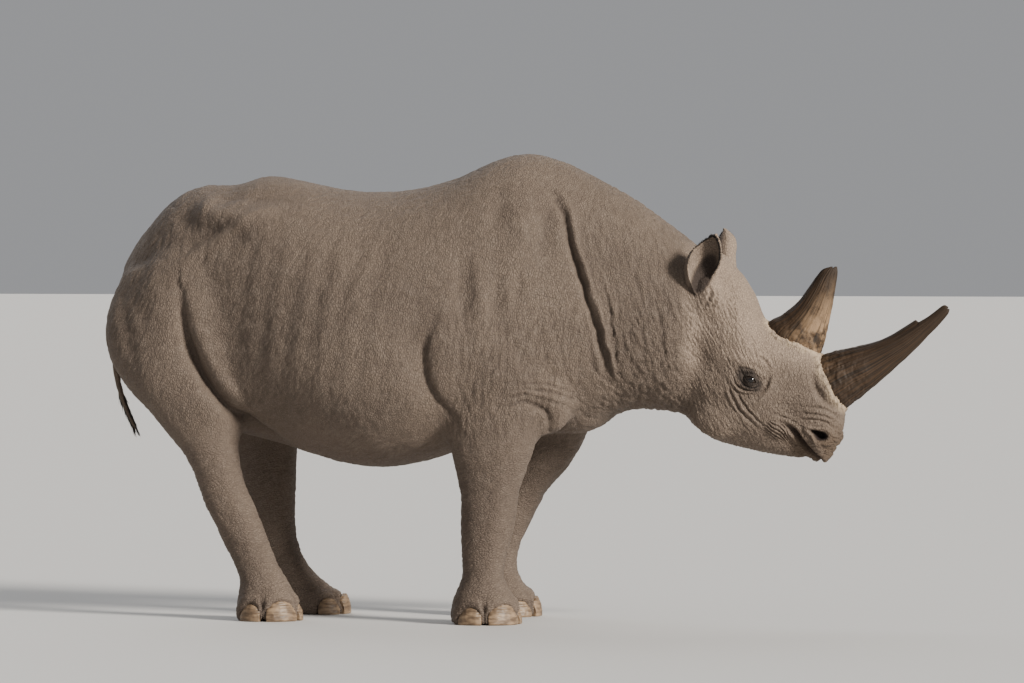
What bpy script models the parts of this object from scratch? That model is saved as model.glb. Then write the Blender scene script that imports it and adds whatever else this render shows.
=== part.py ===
"""A black rhinoceros standing still, life size, as a museum model.

Metres, +Z up. The head points along +X and the animal's left side is +Y. The origin is on the
floor, under the middle of the whole animal.

The body is modelled whole: lofts for the trunk with the neck, the head, the jaw, each leg and the
tail, and swellings for muscle and bone, which one voxel remesh melts together. It is then parted
with thin cuts where a person would name its parts. Horns, ears, eyes and toenails are solids of
their own.
"""

import math

import bmesh
import bpy
import numpy as np
from mathutils import Matrix, Vector
from mathutils.bvhtree import BVHTree

NAME = "black_rhinoceros"

# ---------------------------------------------------------------- driving dimensions
GAP = 0.0003  # the cut between two neighbouring parts
VOXEL = 0.0125  # cell of the remesh that melts the lofts into one body
SMOOTH_PASSES = 10
BODY_TRIANGLES = 3340  # what is kept of the melted body
RING_POINTS = 40  # points round a loft's ring
ROUNDNESS = 2.25  # 2 is an ellipse, more is squarer
SOLE_SINK = 0.035  # how far the legs are modelled below the floor, before the flat cut

EYE_RADIUS = 0.0220
EYE_PLACE = (0.754, 0.809)  # x and height of the eye
EYE_SHOWS = 0.0065  # how far the eyeball stands out of the head

EAR_THICK = 0.009
EAR_EDGE = 0.003  # the least half width of an ear's hollow, at its tip
NAIL_DEEP = 0.020  # how far a toenail sits in the foot
NAIL_PROUD = 0.007  # how far it stands out of the foot
NAIL_FLARE = 0.004  # how much further it stands out at the floor
NAIL_LEAN = 0.012  # how far its upper edge leans back
NAIL_STEPS = 5  # sections across one toenail
BED_DROP = 0.012  # how far below the floor a nail's bed is cut

# ---------------------------------------------------------------- sections of the body
# Each row is one section: its upper (or front) edge as x, z, its lower (or rear) edge as x, z,
# the sideways place of its middle, half its width, and the share of the way from the lower to the
# upper edge at which it is widest.
TRUNK_AND_NECK = (
    (-1.433, 1.185, -1.415, 0.930, 0.0, 0.085, 0.50),
    (-1.355, 1.295, -1.375, 0.840, 0.0, 0.170, 0.52),
    (-1.250, 1.405, -1.290, 0.740, 0.0, 0.235, 0.55),
    (-1.150, 1.452, -1.180, 0.670, 0.0, 0.285, 0.58),
    (-1.030, 1.454, -1.060, 0.625, 0.0, 0.330, 0.58),
    (-0.915, 1.485, -0.930, 0.595, 0.0, 0.365, 0.55),
    (-0.790, 1.462, -0.800, 0.560, 0.0, 0.400, 0.50),
    (-0.642, 1.434, -0.650, 0.518, 0.0, 0.432, 0.45),
    (-0.505, 1.430, -0.510, 0.505, 0.0, 0.445, 0.42),
    (-0.368, 1.447, -0.370, 0.530, 0.0, 0.435, 0.42),
    (-0.245, 1.484, -0.240, 0.572, 0.0, 0.405, 0.42),
    (-0.127, 1.537, -0.100, 0.600, 0.0, 0.370, 0.42),
    (-0.024, 1.558, 0.020, 0.615, 0.0, 0.340, 0.42),
    (0.085, 1.532, 0.115, 0.632, 0.0, 0.305, 0.42),
    (0.200, 1.478, 0.225, 0.672, 0.0, 0.268, 0.43),
    (0.330, 1.408, 0.335, 0.702, 0.0, 0.240, 0.45),
    (0.452, 1.322, 0.425, 0.700, 0.0, 0.222, 0.48),
    (0.560, 1.238, 0.500, 0.690, 0.0, 0.200, 0.52),
    (0.630, 1.170, 0.580, 0.720, 0.0, 0.150, 0.55),
)
HEAD = (
    (0.540, 1.205, 0.500, 0.780, 0.0, 0.120, 0.55),
    (0.600, 1.215, 0.545, 0.672, 0.0, 0.150, 0.50),
    (0.662, 1.190, 0.600, 0.618, 0.0, 0.160, 0.45),
    (0.715, 1.135, 0.662, 0.590, 0.0, 0.158, 0.43),
    (0.750, 1.065, 0.715, 0.578, 0.0, 0.150, 0.45),
    (0.774, 1.005, 0.768, 0.572, 0.0, 0.138, 0.48),
    (0.845, 0.960, 0.820, 0.575, 0.0, 0.124, 0.52),
    (0.912, 0.920, 0.865, 0.582, 0.0, 0.112, 0.55),
    (0.972, 0.875, 0.905, 0.580, 0.0, 0.105, 0.55),
    (1.018, 0.803, 0.938, 0.560, 0.0, 0.098, 0.50),
    (1.042, 0.728, 0.958, 0.545, 0.0, 0.086, 0.45),
    (1.044, 0.662, 0.972, 0.534, 0.0, 0.066, 0.45),
    (1.034, 0.612, 0.980, 0.538, 0.0, 0.040, 0.50),
)
JAW = (
    (0.560, 0.800, 0.520, 0.664, 0.0, 0.110, 0.50),
    (0.640, 0.770, 0.608, 0.606, 0.0, 0.118, 0.50),
    (0.720, 0.720, 0.698, 0.580, 0.0, 0.102, 0.50),
    (0.800, 0.670, 0.786, 0.562, 0.0, 0.082, 0.50),
    (0.865, 0.630, 0.858, 0.550, 0.0, 0.066, 0.50),
    (0.915, 0.592, 0.900, 0.547, 0.0, 0.056, 0.50),
    (0.940, 0.570, 0.930, 0.555, 0.0, 0.036, 0.50),
)
NEAR_FORELEG = (
    (0.140, 0.960, -0.290, 0.920, -0.200, 0.125, 0.5),
    (0.125, 0.810, -0.305, 0.800, -0.212, 0.122, 0.5),
    (0.090, 0.700, -0.262, 0.700, -0.220, 0.112, 0.5),
    (0.041, 0.570, -0.238, 0.570, -0.225, 0.100, 0.5),
    (0.008, 0.480, -0.214, 0.480, -0.225, 0.089, 0.5),
    (-0.010, 0.410, -0.203, 0.410, -0.225, 0.084, 0.5),
    (-0.024, 0.311, -0.205, 0.311, -0.225, 0.082, 0.5),
    (-0.050, 0.219, -0.201, 0.219, -0.225, 0.073, 0.5),
    (-0.058, 0.153, -0.198, 0.153, -0.225, 0.075, 0.5),
    (-0.034, 0.107, -0.221, 0.107, -0.225, 0.090, 0.5),
    (-0.010, 0.064, -0.236, 0.064, -0.225, 0.103, 0.5),
    (-0.008, 0.010, -0.236, 0.010, -0.225, 0.106, 0.5),
    (-0.020, -SOLE_SINK, -0.222, -SOLE_SINK, -0.225, 0.095, 0.5),
)
FAR_FORELEG = (
    (0.170, 0.960, -0.250, 0.920, 0.200, 0.125, 0.5),
    (0.168, 0.810, -0.262, 0.800, 0.212, 0.122, 0.5),
    (0.150, 0.700, -0.235, 0.700, 0.220, 0.112, 0.5),
    (0.102, 0.580, -0.212, 0.580, 0.225, 0.100, 0.5),
    (0.050, 0.500, -0.200, 0.500, 0.225, 0.090, 0.5),
    (-0.022, 0.420, -0.215, 0.420, 0.225, 0.084, 0.5),
    (-0.075, 0.320, -0.252, 0.320, 0.225, 0.082, 0.5),
    (-0.117, 0.231, -0.266, 0.231, 0.225, 0.073, 0.5),
    (-0.125, 0.160, -0.270, 0.160, 0.225, 0.075, 0.5),
    (-0.098, 0.107, -0.280, 0.107, 0.225, 0.090, 0.5),
    (-0.060, 0.064, -0.288, 0.064, 0.225, 0.103, 0.5),
    (-0.050, 0.010, -0.284, 0.010, 0.225, 0.106, 0.5),
    (-0.062, -SOLE_SINK, -0.272, -SOLE_SINK, 0.225, 0.095, 0.5),
)
NEAR_HIND_LEG = (
    (-0.990, 1.200, -1.388, 1.170, -0.150, 0.120, 0.5),
    (-0.975, 1.040, -1.437, 1.010, -0.185, 0.155, 0.5),
    (-0.950, 0.900, -1.427, 0.890, -0.200, 0.160, 0.5),
    (-0.925, 0.790, -1.364, 0.780, -0.207, 0.148, 0.5),
    (-0.930, 0.700, -1.284, 0.700, -0.210, 0.125, 0.5),
    (-0.972, 0.610, -1.200, 0.600, -0.210, 0.100, 0.5),
    (-0.972, 0.530, -1.146, 0.530, -0.210, 0.083, 0.5),
    (-0.952, 0.450, -1.113, 0.450, -0.210, 0.076, 0.5),
    (-0.918, 0.381, -1.089, 0.381, -0.210, 0.075, 0.5),
    (-0.890, 0.313, -1.052, 0.313, -0.210, 0.071, 0.5),
    (-0.862, 0.245, -1.020, 0.245, -0.210, 0.068, 0.5),
    (-0.838, 0.185, -0.982, 0.175, -0.210, 0.070, 0.5),
    (-0.800, 0.125, -0.968, 0.120, -0.210, 0.080, 0.5),
    (-0.770, 0.064, -0.978, 0.064, -0.210, 0.096, 0.5),
    (-0.764, 0.010, -0.978, 0.010, -0.210, 0.100, 0.5),
    (-0.774, -SOLE_SINK, -0.966, -SOLE_SINK, -0.210, 0.090, 0.5),
)
FAR_HIND_LEG = (
    (-0.960, 1.200, -1.365, 1.170, 0.150, 0.120, 0.5),
    (-0.935, 1.040, -1.415, 1.010, 0.185, 0.155, 0.5),
    (-0.905, 0.900, -1.405, 0.890, 0.200, 0.160, 0.5),
    (-0.880, 0.790, -1.335, 0.780, 0.207, 0.148, 0.5),
    (-0.872, 0.700, -1.250, 0.700, 0.210, 0.125, 0.5),
    (-0.884, 0.610, -1.172, 0.600, 0.210, 0.100, 0.5),
    (-0.892, 0.530, -1.120, 0.530, 0.210, 0.083, 0.5),
    (-0.895, 0.450, -1.090, 0.450, 0.210, 0.076, 0.5),
    (-0.896, 0.381, -1.078, 0.381, 0.210, 0.075, 0.5),
    (-0.898, 0.309, -1.058, 0.309, 0.210, 0.071, 0.5),
    (-0.885, 0.230, -1.026, 0.230, 0.210, 0.068, 0.5),
    (-0.846, 0.155, -0.985, 0.150, 0.210, 0.070, 0.5),
    (-0.790, 0.105, -0.950, 0.105, 0.210, 0.080, 0.5),
    (-0.730, 0.055, -0.935, 0.055, 0.210, 0.096, 0.5),
    (-0.714, 0.010, -0.928, 0.010, 0.210, 0.100, 0.5),
    (-0.724, -SOLE_SINK, -0.916, -SOLE_SINK, 0.210, 0.090, 0.5),
)
TAIL = (
    (-1.370, 1.190, -1.320, 1.130, 0.010, 0.042, 0.5),
    (-1.432, 1.110, -1.388, 1.080, 0.014, 0.032, 0.5),
    (-1.470, 1.010, -1.430, 0.995, 0.022, 0.024, 0.5),
    (-1.490, 0.900, -1.460, 0.895, 0.030, 0.018, 0.5),
    (-1.486, 0.800, -1.462, 0.797, 0.036, 0.014, 0.5),
    (-1.463, 0.720, -1.441, 0.714, 0.040, 0.011, 0.5),
    (-1.432, 0.655, -1.415, 0.648, 0.042, 0.008, 0.5),
    (-1.418, 0.628, -1.408, 0.624, 0.043, 0.004, 0.5),
)
REAR_HORN = (
    (0.950, 0.860, 0.772, 0.955, 0.0, 0.058, 0.5),
    (0.970, 0.910, 0.783, 0.994, 0.0, 0.060, 0.5),
    (0.984, 0.969, 0.838, 1.026, 0.0, 0.050, 0.5),
    (0.998, 1.028, 0.885, 1.065, 0.0, 0.039, 0.5),
    (1.008, 1.083, 0.921, 1.110, 0.0, 0.029, 0.5),
    (1.016, 1.134, 0.949, 1.151, 0.0, 0.020, 0.5),
    (1.020, 1.163, 0.970, 1.172, 0.0, 0.013, 0.5),
    (1.018, 1.181, 0.996, 1.181, 0.0, 0.006, 0.5),
)
FRONT_HORN = (
    (0.918, 0.855, 1.000, 0.698, 0.0, 0.070, 0.5),
    (0.970, 0.889, 1.058, 0.722, 0.0, 0.079, 0.5),
    (1.026, 0.907, 1.113, 0.764, 0.0, 0.066, 0.5),
    (1.095, 0.922, 1.162, 0.803, 0.0, 0.053, 0.5),
    (1.162, 0.940, 1.216, 0.851, 0.0, 0.042, 0.5),
    (1.230, 0.967, 1.268, 0.898, 0.0, 0.032, 0.5),
    (1.288, 0.998, 1.315, 0.945, 0.0, 0.023, 0.5),
    (1.337, 1.030, 1.356, 0.988, 0.0, 0.016, 0.5),
    (1.372, 1.054, 1.386, 1.024, 0.0, 0.010, 0.5),
    (1.390, 1.052, 1.394, 1.038, 0.0, 0.005, 0.5),
)

# Muscle, bone and lip: name, place of the right one (or the only one), radii, and the turn about
# the sideways axis in degrees. Those off the middle are there on both sides.
SWELLINGS = (
    ("shoulder_blade", (-0.080, -0.215, 1.120), (0.170, 0.115, 0.300), 14),
    ("upper_arm", (-0.110, -0.250, 0.860), (0.200, 0.105, 0.200), -20),
    ("arm_front", (0.060, -0.190, 0.800), (0.115, 0.100, 0.180), -12),
    ("breast", (0.120, 0.000, 0.730), (0.160, 0.150, 0.110), 0),
    ("haunch", (-1.130, -0.215, 0.980), (0.240, 0.150, 0.300), 12),
    ("hip_point", (-0.920, -0.225, 1.315), (0.150, 0.105, 0.100), 0),
    ("seat_bone", (-1.270, -0.110, 1.080), (0.100, 0.080, 0.120), -18),
    ("cheek", (0.640, -0.100, 0.712), (0.095, 0.046, 0.105), 20),
    ("cheek_bone", (0.705, -0.128, 0.800), (0.120, 0.036, 0.038), 25),
    ("brow", (0.752, -0.118, 0.868), (0.060, 0.032, 0.032), 35),
    ("ear_root", (0.605, -0.130, 1.085), (0.058, 0.050, 0.075), 0),
    ("poll", (0.600, 0.000, 1.165), (0.080, 0.120, 0.070), 35),
    ("rear_horn_boss", (0.880, 0.000, 0.913), (0.100, 0.070, 0.042), 28),
    ("front_horn_boss", (0.986, 0.000, 0.790), (0.058, 0.088, 0.100), -30),
    ("nostril_wing", (0.975, -0.062, 0.620), (0.055, 0.034, 0.044), -30),
    ("upper_lip", (0.972, 0.000, 0.568), (0.040, 0.048, 0.040), 0),
)

# ---------------------------------------------------------------- where the body is parted
# Side outlines (x, z), first at the inner and then at the outer edge of each cutter.
LEG_CUTS = {
    "foreleg": (
        ((-0.340, 0.600), (0.200, 0.630), (0.160, -0.10), (-0.360, -0.10)),
        ((-0.300, 1.140), (0.150, 1.140), (0.160, -0.10), (-0.360, -0.10)),
    ),
    "hind_leg": (
        ((-1.480, 0.680), (-0.900, 0.600), (-0.620, -0.10), (-1.500, -0.10)),
        ((-1.560, 1.270), (-1.130, 1.270), (-0.560, -0.10), (-1.560, -0.10)),
    ),
}
LEG_CUT_INNER = 0.055
LEG_CUT_OUTER = 0.560
KNEE_HEIGHT = {"foreleg": 0.440, "hind_leg": 0.470}
ANKLE_HEIGHT = {"foreleg": 0.125, "hind_leg": 0.130}
NECK_CUT = ((0.150, 1.640), (0.215, 0.560))  # plane between trunk and neck, top and foot
HEAD_CUT = ((0.575, 1.330), (0.455, 0.360))  # plane between neck and head
TAIL_TIP_HEIGHT = 0.740

# ---------------------------------------------------------------- toes
# Each foot: x and y of its middle, its half length, its half width and the turn of its toes in
# degrees from straight ahead.
FEET = {
    "forefoot_right": (-0.122, -0.225, 0.114, 0.106, -40),
    "forefoot_left": (-0.167, 0.225, 0.117, 0.106, 14),
    "hind_foot_right": (-0.871, -0.210, 0.107, 0.100, -48),
    "hind_foot_left": (-0.821, 0.210, 0.107, 0.100, 12),
}
TOES = (
    # name, direction on the foot in degrees, half its spread in degrees, height
    ("inner", 64, 21, 0.056),
    ("middle", 0, 31, 0.068),
    ("outer", -64, 21, 0.058),
)

# ---------------------------------------------------------------- ears
# Sections of each ear from its root to its tip: middle as x, y, z, then half its size along and
# across the animal. The right ear opens sideways and the left one is turned back.
EARS = {
    "ear_right": (
        (0.612, -0.140, 1.040, 0.028, 0.030),
        (0.604, -0.158, 1.085, 0.036, 0.036),
        (0.611, -0.172, 1.130, 0.046, 0.043),
        (0.619, -0.182, 1.180, 0.055, 0.046),
        (0.632, -0.188, 1.228, 0.053, 0.042),
        (0.646, -0.192, 1.268, 0.040, 0.030),
        (0.664, -0.194, 1.299, 0.012, 0.010),
    ),
    "ear_left": (
        (0.640, 0.128, 1.050, 0.030, 0.030),
        (0.640, 0.146, 1.095, 0.037, 0.036),
        (0.632, 0.160, 1.140, 0.041, 0.048),
        (0.622, 0.172, 1.190, 0.043, 0.058),
        (0.614, 0.180, 1.236, 0.040, 0.056),
        (0.607, 0.184, 1.278, 0.028, 0.040),
        (0.602, 0.186, 1.310, 0.010, 0.012),
    ),
}
EAR_OPENING = {"ear_right": (0.016, -0.030, 0.010), "ear_left": (-0.022, 0.022, 0.010)}
EAR_POINTS = 12

# ---------------------------------------------------------------- materials
MATERIALS = {
    # name: colour (linear red, green, blue), roughness
    "skin": ((0.230, 0.165, 0.125), 0.82),
    "horn": ((0.085, 0.052, 0.030), 0.55),
    "nail": ((0.420, 0.280, 0.170), 0.60),
    "eye": ((0.018, 0.010, 0.006), 0.08),
}


# ================================================================ helpers
def clear_scene():
    for old in list(bpy.data.objects):
        bpy.data.objects.remove(old, do_unlink=True)
    for old in list(bpy.data.collections):
        bpy.data.collections.remove(old)


def new_collection(name):
    made = bpy.data.collections.new(name)
    bpy.context.scene.collection.children.link(made)
    return made


def material(name):
    """The Principled material of that name, made the first time it is asked for."""
    found = bpy.data.materials.get(name)
    if found:
        return found
    made = bpy.data.materials.new(name)
    made.use_nodes = True
    colour, roughness = MATERIALS[name]
    shader = made.node_tree.nodes["Principled BSDF"]
    shader.inputs["Base Color"].default_value = (*colour, 1.0)
    shader.inputs["Roughness"].default_value = roughness
    shader.inputs["Metallic"].default_value = 0.0
    made.diffuse_color = (*colour, 1.0)
    return made


def add_object(name, mesh, collection):
    made = bpy.data.objects.new(name, mesh)
    collection.objects.link(made)
    return made


def baked(thing):
    """Replaces an object's mesh with what its modifiers make of it."""
    bpy.context.view_layer.update()
    graph = bpy.context.evaluated_depsgraph_get()
    mesh = bpy.data.meshes.new_from_object(thing.evaluated_get(graph))
    thing.modifiers.clear()
    thing.data = mesh
    return thing


def boolean(thing, cutter, operation):
    step = thing.modifiers.new(operation.lower(), "BOOLEAN")
    step.operation = operation
    step.solver = "EXACT"
    step.object = cutter
    return baked(thing)


def copy_of(thing, name, collection):
    made = add_object(name, thing.data.copy(), collection)
    made.matrix_world = thing.matrix_world.copy()
    return made


def as_cutter(thing):
    thing.hide_render = True
    thing.display_type = "WIRE"
    return thing


def smooth_rows(rows, steps):
    """Points on a Catmull-Rom curve through the rows, with so many steps from each to the next."""
    rows = np.array(rows, float)
    padded = np.vstack((2 * rows[0] - rows[1], rows, 2 * rows[-1] - rows[-2]))
    made = []
    for i in range(len(rows) - 1):
        a, b, c, d = padded[i : i + 4]
        for t in np.linspace(0, 1, steps, endpoint=False):
            made.append(
                b
                + 0.5 * t * (c - a)
                + t**2 * (a - 2.5 * b + 2 * c - 0.5 * d)
                + t**3 * (1.5 * b - 1.5 * c + 0.5 * d - 0.5 * a)
            )
    made.append(rows[-1])
    return made


def power(value, exponent):
    return math.copysign(abs(value) ** exponent, value)


def section_ring(row, count=RING_POINTS, roundness=ROUNDNESS):
    """The ring of one section row, as points round it."""
    upper = Vector((row[0], 0, row[1]))
    lower = Vector((row[2], 0, row[3]))
    side, half_width, widest = row[4:7]
    middle = lower.lerp(upper, widest) + Vector((0, side, 0))
    ring = []
    for i in range(count):
        turn = 2 * math.pi * i / count
        along = power(math.cos(turn), 2 / roundness)
        across = power(math.sin(turn), 2 / roundness)
        reach = (upper - lower) * (1 - widest if along > 0 else widest)
        ring.append(middle + reach * along + Vector((0, half_width * across, 0)))
    return ring


def mesh_of_rings(name, rings):
    """A closed mesh through rings of equally many points, with a flat cap at each end.

    Its quads are split one way throughout, so that a part and the slightly larger cutter made
    from the same rings keep the same gap everywhere.
    """
    work = bmesh.new()
    loops = [[work.verts.new(point) for point in ring] for ring in rings]
    count = len(rings[0])
    for near, far in zip(loops, loops[1:]):
        for i in range(count):
            j = (i + 1) % count
            work.faces.new((near[i], near[j], far[j], far[i]))
    work.faces.new(loops[0][::-1])
    work.faces.new(loops[-1])
    bmesh.ops.recalc_face_normals(work, faces=work.faces)
    bmesh.ops.triangulate(work, faces=work.faces, quad_method="FIXED", ngon_method="EAR_CLIP")
    mesh = bpy.data.meshes.new(name)
    work.to_mesh(mesh)
    work.free()
    return mesh


def loft(name, rows, collection, steps=4, count=RING_POINTS, roundness=ROUNDNESS):
    rings = [section_ring(row, count, roundness) for row in smooth_rows(rows, steps)]
    return add_object(name, mesh_of_rings(name, rings), collection)


def swelling(name, place, radii, turn, collection):
    """An ellipsoid, turned about the sideways axis."""
    work = bmesh.new()
    bmesh.ops.create_uvsphere(work, u_segments=32, v_segments=16, radius=1.0)
    mesh = bpy.data.meshes.new(name)
    work.to_mesh(mesh)
    work.free()
    made = add_object(name, mesh, collection)
    made.matrix_world = (
        Matrix.Translation(place)
        @ Matrix.Rotation(math.radians(turn), 4, "Y")
        @ Matrix.Diagonal((*radii, 1.0))
    )
    return made


def joined(name, things, collection):
    """One object holding the meshes of several, which are removed."""
    bpy.context.view_layer.update()
    work = bmesh.new()
    for thing in things:
        mesh = thing.data.copy()
        mesh.transform(thing.matrix_world)
        work.from_mesh(mesh)
        bpy.data.objects.remove(thing, do_unlink=True)
    mesh = bpy.data.meshes.new(name)
    work.to_mesh(mesh)
    work.free()
    return add_object(name, mesh, collection)


def triangles(thing):
    return sum(len(face.vertices) - 2 for face in thing.data.polygons)


def swollen(cutter, by, collection):
    """A copy of a cutter with each face moved outwards, so that a cut leaves a gap."""
    made = copy_of(cutter, cutter.name + "_grown", collection)
    work = bmesh.new()
    work.from_mesh(made.data)
    work.normal_update()
    moves = []
    for vert in work.verts:
        normals = np.array([face.normal for face in vert.link_faces])
        reach = np.full(len(normals), by)
        moves.append(Vector(np.linalg.lstsq(normals, reach, rcond=None)[0]))
    for vert, move in zip(work.verts, moves):
        vert.co += move
    work.to_mesh(made.data)
    work.free()
    return as_cutter(made)


def side_cutter(name, inner, outer, inner_y, outer_y, collection):
    """A wedge between two side outlines, at two distances from the middle of the animal."""
    rings = [
        [Vector((x, inner_y, z)) for x, z in inner],
        [Vector((x, outer_y, z)) for x, z in outer],
    ]
    return as_cutter(add_object(name, mesh_of_rings(name, rings), collection))


def beyond_plane(name, top, foot, reach, collection, half_width=0.7):
    """A block that lies on one side of a plane seen edge on from the side."""
    ahead = Vector((reach, 0))
    outline = [Vector(top), Vector(foot), Vector(foot) + ahead, Vector(top) + ahead]
    return side_cutter(name, outline, outline, -half_width, half_width, collection)


def part_off(body, cutter, name, parts, cutters):
    """Takes what lies in the cutter off the body as a part of its own, with a gap between."""
    piece = copy_of(body, name, parts)
    boolean(piece, cutter, "INTERSECT")
    boolean(body, swollen(cutter, GAP, cutters), "DIFFERENCE")
    return piece


# ================================================================ the body as a whole
def build_body(collection):
    """All flesh but the ears, as one closed mesh with flat soles at height 0."""
    things = [
        loft("trunk_and_neck", TRUNK_AND_NECK, collection),
        loft("head", HEAD, collection),
        loft("jaw", JAW, collection),
    ]
    for name, rows in (
        ("near_foreleg", NEAR_FORELEG),
        ("far_foreleg", FAR_FORELEG),
        ("near_hind_leg", NEAR_HIND_LEG),
        ("far_hind_leg", FAR_HIND_LEG),
    ):
        things.append(loft(name, rows, collection))
    for name, place, radii, turn in SWELLINGS:
        things.append(swelling(name, place, radii, turn, collection))
        if place[1]:
            mirror_place = (place[0], -place[1], place[2])
            things.append(swelling(name, mirror_place, radii, turn, collection))
    body = joined("body", things, collection)

    melt = body.modifiers.new("melt", "REMESH")
    melt.mode = "VOXEL"
    melt.voxel_size = VOXEL
    melt.use_smooth_shade = True
    baked(body)
    soften = body.modifiers.new("soften", "SMOOTH")
    soften.factor = 0.5
    soften.iterations = SMOOTH_PASSES
    baked(body)
    thin_out(body)
    cut_flat_soles(body)
    return body


def thin_out(body):
    """Fewer triangles, with the most kept where the form turns."""
    fewer = body.modifiers.new("fewer", "DECIMATE")
    fewer.ratio = BODY_TRIANGLES / triangles(body)
    fewer.use_collapse_triangulate = True
    baked(body)


def cut_flat_soles(body):
    """Cuts the legs off at the floor, which leaves a flat under each foot."""
    work = bmesh.new()
    work.from_mesh(body.data)
    everything = work.verts[:] + work.edges[:] + work.faces[:]
    cut = bmesh.ops.bisect_plane(
        work, geom=everything, plane_co=(0, 0, 0), plane_no=(0, 0, -1), clear_outer=True
    )
    rim = [item for item in cut["geom_cut"] if isinstance(item, bmesh.types.BMEdge)]
    bmesh.ops.holes_fill(work, edges=rim, sides=0)
    bmesh.ops.recalc_face_normals(work, faces=work.faces)
    work.to_mesh(body.data)
    work.free()


def grown_by_gap(thing, collection):
    """A copy moved outwards all over by the gap, for cutting what grows from the thing."""
    made = copy_of(thing, thing.name + "_grown", collection)
    grow = made.modifiers.new("grow", "DISPLACE")
    grow.strength = GAP
    grow.mid_level = 0.0
    return as_cutter(baked(made))


# ================================================================ horns, ears, eyes and nails
def build_horns(head_grown, parts):
    horns = []
    for name, rows in (("horn_rear", REAR_HORN), ("horn_front", FRONT_HORN)):
        horn = loft(name, rows, parts, steps=1, count=12, roundness=2.0)
        boolean(horn, head_grown, "DIFFERENCE")
        horns.append(horn)
    return horns


def build_tail(trunk_grown, parts, cutters):
    """The tail, in its length and its bristled tip, which begin at the skin of the rump."""
    tail = loft("tail", TAIL, parts, steps=1, count=10, roundness=2.0)
    boolean(tail, trunk_grown, "DIFFERENCE")
    top, low = TAIL_TIP_HEIGHT, 0.5
    outline = ((-1.7, top), (-1.2, top), (-1.2, low), (-1.7, low))
    block = side_cutter("tail_tip_cut", outline, outline, -0.2, 0.2, cutters)
    tip = part_off(tail, block, "tail_tip", parts, cutters)
    return tail, tip


def ear_rings(rows, shrink, shift):
    """Rings of an ear, shrunk and moved towards its opening for the hollow."""
    rings = []
    for x, y, z, half_length, half_width in rows:
        ring = []
        for i in range(EAR_POINTS):
            turn = 2 * math.pi * i / EAR_POINTS
            along = max(half_length - shrink, EAR_EDGE) * math.cos(turn)
            across = max(half_width - shrink, EAR_EDGE) * math.sin(turn)
            ring.append(Vector((x + along, y + across, z)) + Vector(shift))
        rings.append(ring)
    return rings


def build_ears(head_grown, parts, cutters):
    """Each ear is a cup, open to one side."""
    ears = []
    for name, rows in EARS.items():
        ear = add_object(name, mesh_of_rings(name, ear_rings(rows, 0, (0, 0, 0))), parts)
        hollow_rings = ear_rings(rows, EAR_THICK, EAR_OPENING[name])[2:]
        hollow = as_cutter(add_object("hollow", mesh_of_rings("hollow", hollow_rings), cutters))
        boolean(ear, hollow, "DIFFERENCE")
        boolean(ear, head_grown, "DIFFERENCE")
        ears.append(ear)
    return ears


def build_eyes(head, parts, cutters):
    """Eyeballs, each in a socket that is cut into the head."""
    bpy.context.view_layer.update()
    work = bmesh.new()
    work.from_mesh(head.data)
    surface = BVHTree.FromBMesh(work)
    work.free()
    x, z = EYE_PLACE
    eyes = []
    for word, side in (("right", -1), ("left", 1)):
        hit = surface.ray_cast(Vector((x, side * 1.0, z)), Vector((0, -side, 0)))[0]
        centre = Vector((x, hit.y - side * (EYE_RADIUS - EYE_SHOWS), z))
        for grown, name, home in ((0, "eye_" + word, parts), (GAP, "socket_" + word, cutters)):
            work = bmesh.new()
            bmesh.ops.create_uvsphere(work, u_segments=12, v_segments=6, radius=EYE_RADIUS + grown)
            mesh = bpy.data.meshes.new(name)
            work.to_mesh(mesh)
            work.free()
            ball = add_object(name, mesh, home)
            ball.location = centre
            ball.rotation_euler = (math.radians(90), 0, 0)
            bpy.context.view_layer.update()
            if grown:
                boolean(head, as_cutter(ball), "DIFFERENCE")
            else:
                eyes.append(ball)
    return eyes


def nail_rings(half_length, half_width, heading, turn, spread, height, grown):
    """Rings of one toenail round the foot's edge, in the foot's own frame."""
    rings = []
    for i in range(NAIL_STEPS + 1):
        share = 2 * i / NAIL_STEPS - 1  # from -1 to 1 across the nail
        angle = math.radians(heading + turn + share * spread) + share * grown / half_width
        rim = Vector((half_length * math.cos(angle), half_width * math.sin(angle), 0))
        out = rim.normalized()
        up = Vector((0, 0, 1))
        top = height * (1 - 0.34 * share**2) + grown
        proud = NAIL_PROUD * (1 - 0.55 * share**4) + grown
        floor = -BED_DROP if grown else 0
        deep = rim - out * (NAIL_DEEP + grown)
        rings.append(
            [
                deep + up * floor,
                rim + out * (proud + 0.25 * NAIL_FLARE) + up * floor,
                rim + out * (proud + NAIL_FLARE) + up * 0.005,
                rim + out * (proud + 0.25 * NAIL_FLARE) + up * 0.55 * top,
                rim + out * (proud - 0.6 * NAIL_LEAN) + up * 0.86 * top,
                rim + out * (proud - NAIL_LEAN) + up * top,
                deep + up * top,
            ]
        )
    return rings


def build_nails(foot_name, foot, parts, cutters):
    """Three toenails on one foot, each in a bed that is cut into it."""
    x, y, half_length, half_width, heading = FEET[foot_name]
    side = 1 if y > 0 else -1
    nails = []
    for toe, turn, spread, height in TOES:
        turn *= -side
        for grown, home in ((0, parts), (GAP, cutters)):
            rings = nail_rings(half_length, half_width, heading, turn, spread, height, grown)
            name = f"nail_{foot_name}_{toe}"
            nail = add_object(name, mesh_of_rings(name, rings), home)
            nail.location = (x, y, 0)
            bpy.context.view_layer.update()
            if grown:
                nail.name = f"bed_{foot_name}_{toe}"
                boolean(foot, as_cutter(nail), "DIFFERENCE")
            else:
                nails.append(nail)
    return nails


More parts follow.
